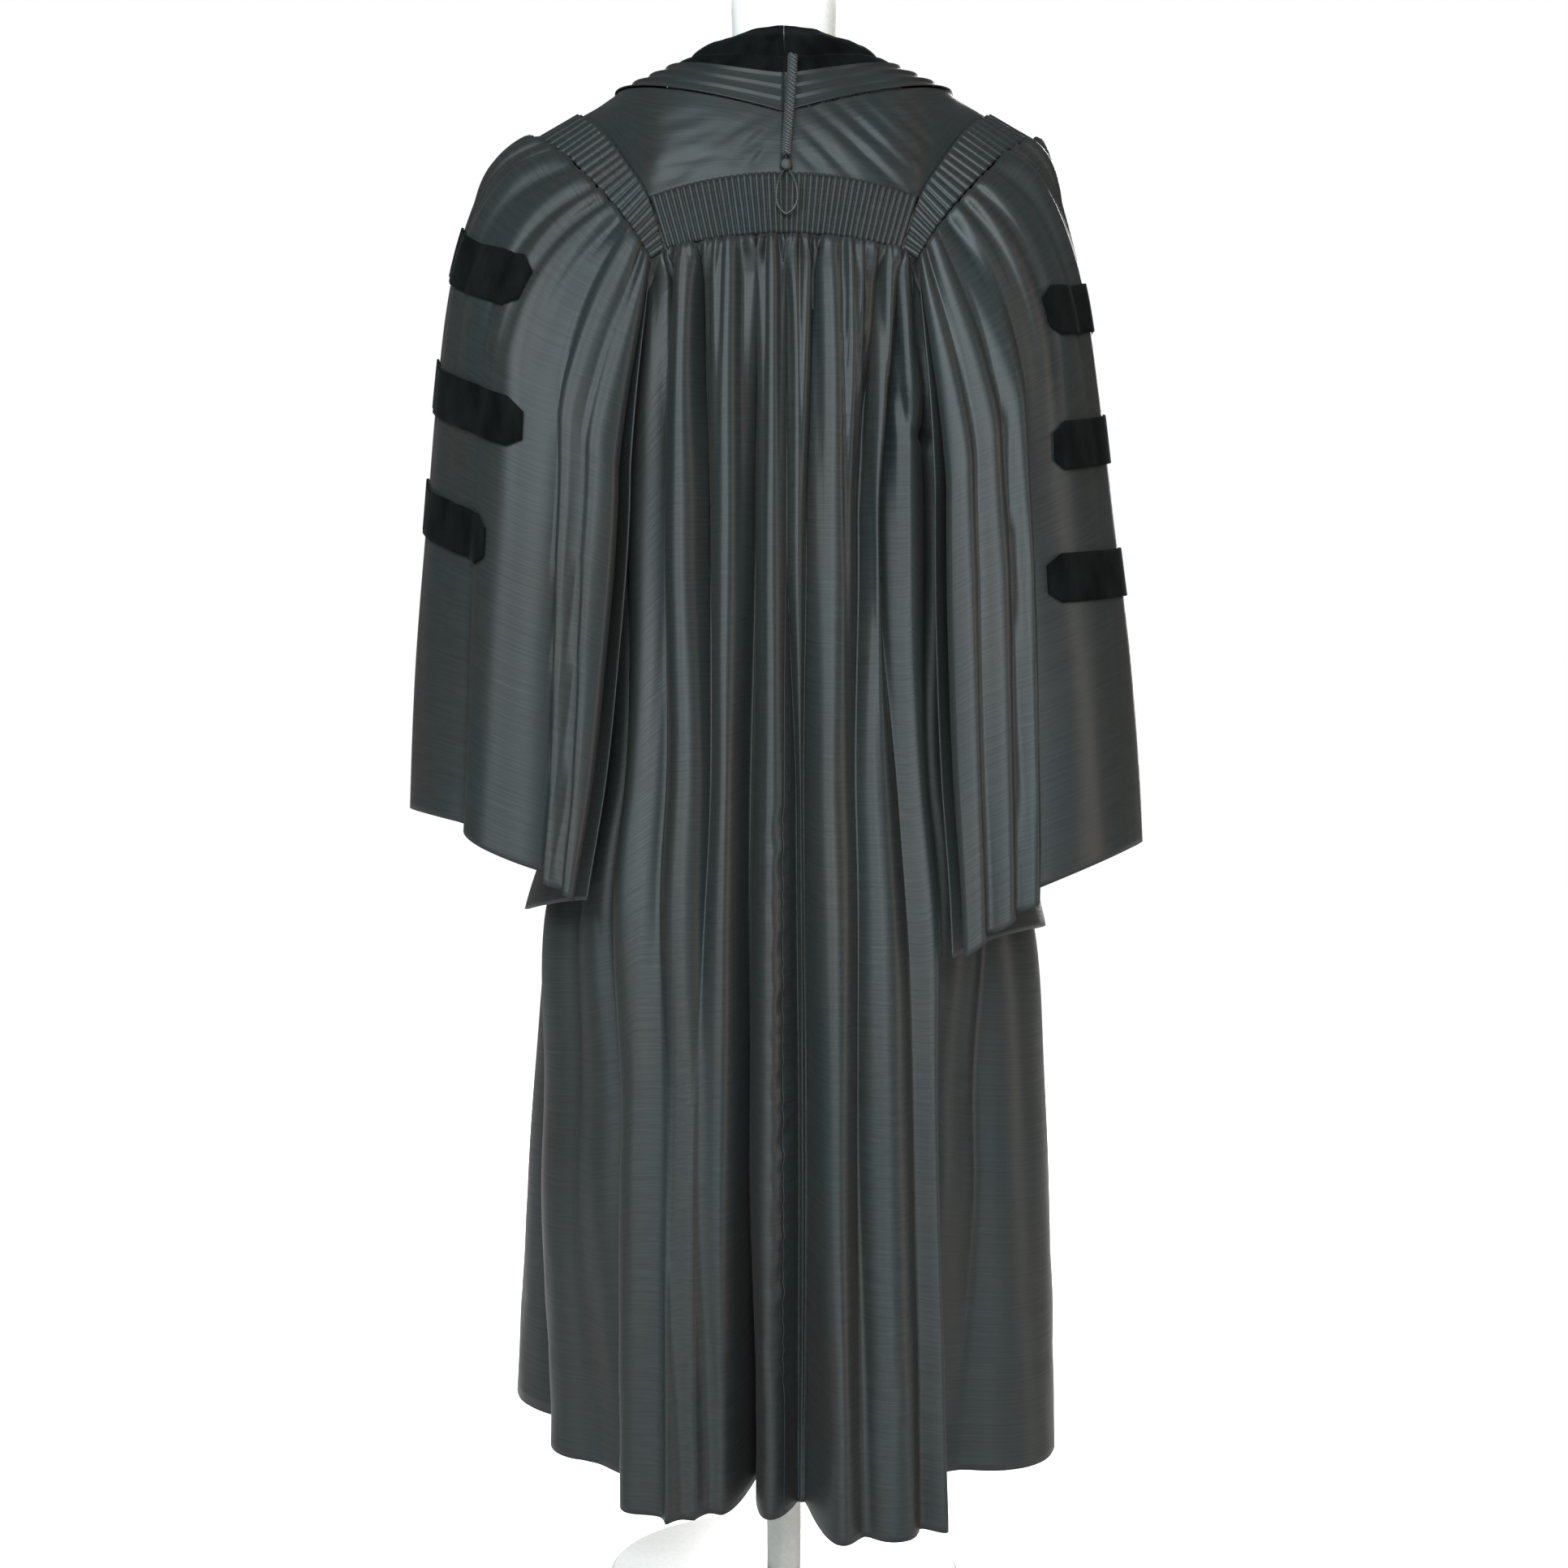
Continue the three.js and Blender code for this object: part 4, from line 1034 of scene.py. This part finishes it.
world.node_tree.links.new(blend.outputs[0], world.node_tree.nodes["World Output"].inputs[0])
bpy.context.scene.view_settings.view_transform = "Standard"

# Velvet, tucks, yoke and fluting
SIDES = ("left", "right")


def fullness(z):
    return ease((FRONT_DROP[0] - z) / FRONT_EASE)


def velvet_control(sign):
    def control(u):
        points = []
        for i in range(9):
            p = neck_ring(NECK)(i / 8).lerp(neck_ring(VELVET_EDGE)(i / 8), u * 0.997)
            points.append(p + outward(p) * VELVET_BOW * math.sin(math.pi * u))
        for share in (0.25, 0.5, 0.75, 1):
            p = neckline(share).lerp(velvet_front(share), u * 0.997)
            points.append(p + outward(p) * VELVET_BOW * math.sin(math.pi * u))
        for level in [*FRONT_DROP, 0]:
            z = level or hem_height(mix(180, 135, u))
            angle = mix(180, front_angle(VELVET_WIDTH - SEAM / 2, z), u)
            r = ring_radius("body", angle, z) + fold_out(sign * angle, z) * fullness(z)
            p = polar(r, angle, z)
            p.x = max(p.x, SEAM / 2)
            points.append(p)
        return points

    return control


def velvet_detail(u, v, p):
    """Wavy neck edge, and the soft crease where the collar folds over."""
    wave = 1.2 * noise.noise((angle_of(p) * 0.09, p.z * 0.02, 2.0))
    collar = ease((p.z - 1380) / 30)
    crease = 3 * math.exp(-(((u - 0.62) / 0.07) ** 2)) - 2.5 * math.exp(-(((u - 0.35) / 0.18) ** 2))
    return wave - collar * crease


def pleat(u, z):
    return 0 if u > PLEATED * 1.001 else tuck_lift(u / PLEATED) * ease((z - PLEAT_END) / PLEAT_FADE)


def front_control(sign):
    def control(u):
        points = []
        for v in FRONT_TOP:
            p = velvet_front(v).lerp(armhole(mix(SHOULDER, 0.99, v)), mix(0.003, 0.97, u))
            p.y = max(p.y, SEAM / 2)
            bow = YOKE_BOW * math.sin(math.pi * v) * u * (1 - u)
            points.append(p + outward(p) * (pleat(u, p.z) + bow))
        for level in [*FRONT_DROP, 0]:
            z = level or hem_height(mix(135, 90, u))
            angle = mix(front_angle(VELVET_WIDTH + SEAM / 2, z), underarm_angle(z), u)
            r = ring_radius("body", angle, z) + fold_out(sign * angle, z) * fullness(z)
            points.append(polar(r + pleat(u, z), angle, z))
        return points

    return control


YOKE_CREASES = {
    "right": [
        Crease(26, 1368, 107, 1291, 5, 3.0),
        Crease(14, 1352, 62, 1300, 5, 2.2),
        Crease(46, 1374, 118, 1306, 5, 3.0),
        Crease(66, 1378, 126, 1322, 5, 2.8),
        Crease(84, 1384, 140, 1334, 5, 2.6),
        Crease(104, 1390, 150, 1346, 6, 2.2),
        Crease(10, 1330, 34, 1303, 5, 1.6),
    ],
    "left": [
        Crease(-8, 1352, -44, 1318, 6, 3.0),
        Crease(-20, 1362, -70, 1330, 6, 2.6),
        Crease(-10, 1335, -30, 1308, 5, 2.6),
        Crease(-52, 1350, -96, 1338, 7, 2.2),
        Crease(-60, 1322, -104, 1316, 6, 2.4),
        Crease(-84, 1308, -112, 1300, 6, 2.0),
        Crease(-70, 1362, -116, 1356, 8, 1.8),
    ],
}


def yoke_detail(side):
    def detail(u, v, p):
        ripple = 1.2 * noise.noise((p.x * 0.03, p.z * 0.05, 4.0))
        return creased(YOKE_CREASES[side], p.x, p.z) + ripple * math.sin(math.pi * v)

    return detail


def bowed(u, v):
    return YOKE_BOW * math.sin(math.pi * v) * math.sin(math.pi * clamp(0.2 + 0.8 * u))


for side in SIDES:
    sign = -1 if side == "left" else 1
    facing = cloth(
        f"velvet_facing_{side}",
        "velvet",
        40,
        190,
        mirrored(lofted(velvet_control(sign)), side),
        (112, 1460),
        outward,
        velvet_detail,
        PILE,
    )
    tucks = cloth(
        f"neck_tucks_{side}",
        "silk",
        60,
        45,
        mirrored(strip(neck_ring(VELVET_EDGE), neck_ring(TUCK_EDGE)), side),
        (190, 60),
        outward,
        lambda u, v, p: tuck_lift(v),
    )
    yoke = cloth(
        f"yoke_{side}",
        "silk",
        90,
        60,
        mirrored(strip(neck_ring(TUCK_EDGE), yoke_edge, bowed), side),
        (230, 90),
        outward,
        yoke_detail(side),
        relax=40,
    )
    fluting = cloth(
        f"sleeve_fluting_{side}",
        "silk",
        HEAD_FLUTES * 9,
        12,
        mirrored(strip(armhole, head_edge), side),
        (420, 36),
        outward,
        lambda u, v, p: flute(u * HEAD_FLUTES),
    )
    front = cloth(
        f"front_{side}",
        "silk",
        70,
        130,
        mirrored(lofted(front_control(sign)), side),
        (260, 1300),
        outward,
        body_detail,
    )


def flute_top(u):
    p = yoke_edge(abs(u) / 2)
    p.x = math.copysign(p.x, u)
    return p


def flute_foot(u):
    z = top_height(u * FLUTE_EDGE)
    return polar(ring_radius("body", u * FLUTE_EDGE, z), u * FLUTE_EDGE, z)


def over_back(line):
    return lambda u: line(mix(-FLUTES_SPAN, FLUTES_SPAN, u))


back_fluting = cloth(
    "back_fluting",
    "silk",
    BACK_FLUTES * 9,
    14,
    strip(over_back(flute_top), over_back(flute_foot)),
    (230, 58),
    outward,
    lambda u, v, p: flute(u * BACK_FLUTES + 0.06 * noise.noise((u * 40, v * 2, 9.0))),
)


# Back panels
def panel_place(edges):
    """Columns run along the valleys, rows from the fluting to the hem."""

    def station(u, z):
        rows = levels_at(round(z, 1))
        angles = [rows[e].at if isinstance(e, int) else e for e in edges]
        i = min(int(u * (len(edges) - 1)), len(edges) - 2)
        return mix(angles[i], angles[i + 1], u * (len(edges) - 1) - i)

    def place(u, v):
        z = 1250 - 1150 * v
        for _ in range(4):
            angle = station(u, z)
            z = mix(top_height(angle) - SEAM / 2, hem_height(angle), v)
        return on_gown(angle, z)

    return place


BACKS = {
    "left": [-89.95, 2, 3, 4, 5, 6, -0.06],
    "right": [0.06, 7, 8, 9, 10, 11, 12, 89.95],
}
for side, edges in BACKS.items():
    back = cloth(
        f"back_panel_{side}",
        "silk",
        24 * (len(edges) - 1),
        170,
        panel_place(edges),
        (560, 1150),
        outward,
        body_detail,
    )


# Sleeves and their bars
def sleeve_centre(side):
    sign = -1 if side == "left" else 1
    return lambda p: Vector((p.x - sign * SLEEVE_MIDDLE, p.y, 0))


def sleeve_detail(side):
    seed = 11.0 if side == "left" else 13.0

    def detail(u, v, p):
        outer = u <= 0.5
        t = u * 2 if outer else (1 - u) * 2
        drop = v * SLEEVE_LENGTH
        around = t * 420 if outer else 600 + t * 300
        ripple = ease(drop / 120) * slack(around, p.z, seed) * (1 if outer else 0.5)
        edge = math.sin(math.pi * t) ** 0.5 if 0 < t < 1 else 0
        folds = gathers(t * HEAD_FLUTES, drop) if outer else 0
        return folds + ripple * edge

    return detail


def first_where(low, high, holds):
    """The value between two others where a rising test first holds."""
    for _ in range(24):
        middle = (low + high) / 2
        if holds(middle):
            high = middle
        else:
            low = middle
    return high


def drop_at(side, t, z):
    return first_where(0, 1, lambda drop: sleeve_point(side, t / 2, drop).z <= z)


def bar_place(side, bar):
    """Stretch of the sleeve's own surface, moved out, with clipped corners."""
    middle = bar.back - BAR_TALL / 2
    start = first_where(
        0.02, 0.45, lambda t: sleeve_point(side, t / 2, drop_at(side, t, middle)).x >= bar.edge
    )
    detail = sleeve_detail(side)

    def skin(share, drop):
        step = 0.004
        p = sleeve_point(side, share, drop)
        along = sleeve_point(side, share + step, drop) - sleeve_point(side, share - step, drop)
        down = sleeve_point(side, share, drop + step) - sleeve_point(side, share, drop - step)
        normal = along.cross(down).normalized()
        if normal.dot(Vector((p.x - SLEEVE_MIDDLE, p.y, 0))) < 0:
            normal.negate()
        return p, normal

    def place(u, v):
        corner = max(0, 1 - min(u, 1 - u) / 0.04)
        t = mix(start, BAR_TO, u)
        lean = clamp(1 - abs(t - 0.5) / (0.5 - start))
        below = BAR_TALL * mix(BAR_CLIP * corner, 1 - BAR_CLIP * corner, v)
        drop = drop_at(side, t, mix(bar.back, bar.outer, lean) - below)
        p, normal = skin(t / 2, drop)
        return p + normal * (detail(t / 2, drop, p) + PILE + 1.2)

    return place


for side in SIDES:
    sleeve = cloth(
        f"sleeve_{side}",
        "silk",
        220,
        120,
        mirrored(lambda u, v: sleeve_point(side, u, mix(0.004, 1, v)), side),
        (1000, 640),
        sleeve_centre(side),
        sleeve_detail(side),
        closed=True,
    )
    for number, bar in enumerate(SLEEVES[side].bars, 1):
        band = cloth(
            f"sleeve_bar_{side}_{number}",
            "velvet",
            70,
            12,
            mirrored(bar_place(side, bar), side),
            (300, 45),
            sleeve_centre(side),
            thick=PILE,
        )

# Braid and button
braid_line = smooth_line([Vector(p) - Vector((0, BRAID_OFF, 0)) for p in BRAID_ROUTE])
BRAID_TURNS = 9


def braid_strand(phase):
    route = []
    for i in range(145):
        share = i / 144
        turn = 2 * math.pi * (BRAID_TURNS * share + phase)
        off = Vector((math.cos(turn), 0.7 * math.sin(turn), 0.35 * math.sin(turn)))
        route.append(braid_line(share) + off * BRAID_R * 0.75)
    return route


strands("back_braid", "braid", [braid_strand(k / 3) for k in range(3)], BRAID_R * 0.62)
spun(
    "hood_button",
    "silk",
    [
        (0, 0),
        (BUTTON_R * 0.8, 0),
        (BUTTON_R, BUTTON_THICK * 0.35),
        (BUTTON_R * 0.75, BUTTON_THICK * 0.8),
        (0, BUTTON_THICK),
    ],
    BUTTON_AT,
    Matrix.Rotation(math.pi / 2, 3, "X"),
    32,
)


# Dress form
def torso():
    """Smooth closed torso of stacked rings."""
    shape = bmesh.new()
    bmesh.ops.create_grid(shape, x_segments=72, y_segments=110, size=0.5)
    top, foot = FORM[0].z, FORM[-1].z
    for vert in shape.verts:
        angle, z = 360 * vert.co.x, mix(foot, top, vert.co.y + 0.5)
        vert.co = polar(ring_radius("form", angle, z), angle, z)
    bmesh.ops.remove_doubles(shape, verts=shape.verts, dist=0.01)
    rims = [e for e in shape.edges if e.is_boundary]
    bmesh.ops.holes_fill(shape, edges=rims, sides=0)
    bmesh.ops.recalc_face_normals(shape, faces=shape.faces)
    for face in shape.faces:
        face.smooth = len(face.verts) == 4
    bmesh.ops.scale(shape, vec=(MM, MM, MM), verts=shape.verts)
    data = bpy.data.meshes.new("form_torso")
    shape.to_mesh(data)
    shape.free()
    return keep(data, "form_torso_cover", "form_jersey", ["form_torso"])


torso()
neck_top = FORM[0].z + SEAM
spun(
    "form_neck_cap",
    "cap_brass",
    [(0, 0), (CAP_R, 0), (CAP_R, CAP_THICK * 0.6), (CAP_R - 3, CAP_THICK), (0, CAP_THICK)],
    (0, 0, neck_top),
)
pole_top = FORM[-1].z - SEAM
pole_foot = BASE_THICK + SEAM
spun(
    "form_pole",
    "stand_steel",
    [(0, pole_foot), (POLE_R, pole_foot), (POLE_R, pole_top), (0, pole_top)],
)
spun(
    "form_base",
    "stand_steel",
    [
        (0, 0),
        (BASE_R, 0),
        (BASE_R, BASE_THICK - BASE_EDGE),
        (BASE_R - BASE_EDGE, BASE_THICK),
        (0, BASE_THICK),
    ],
    steps=96,
)
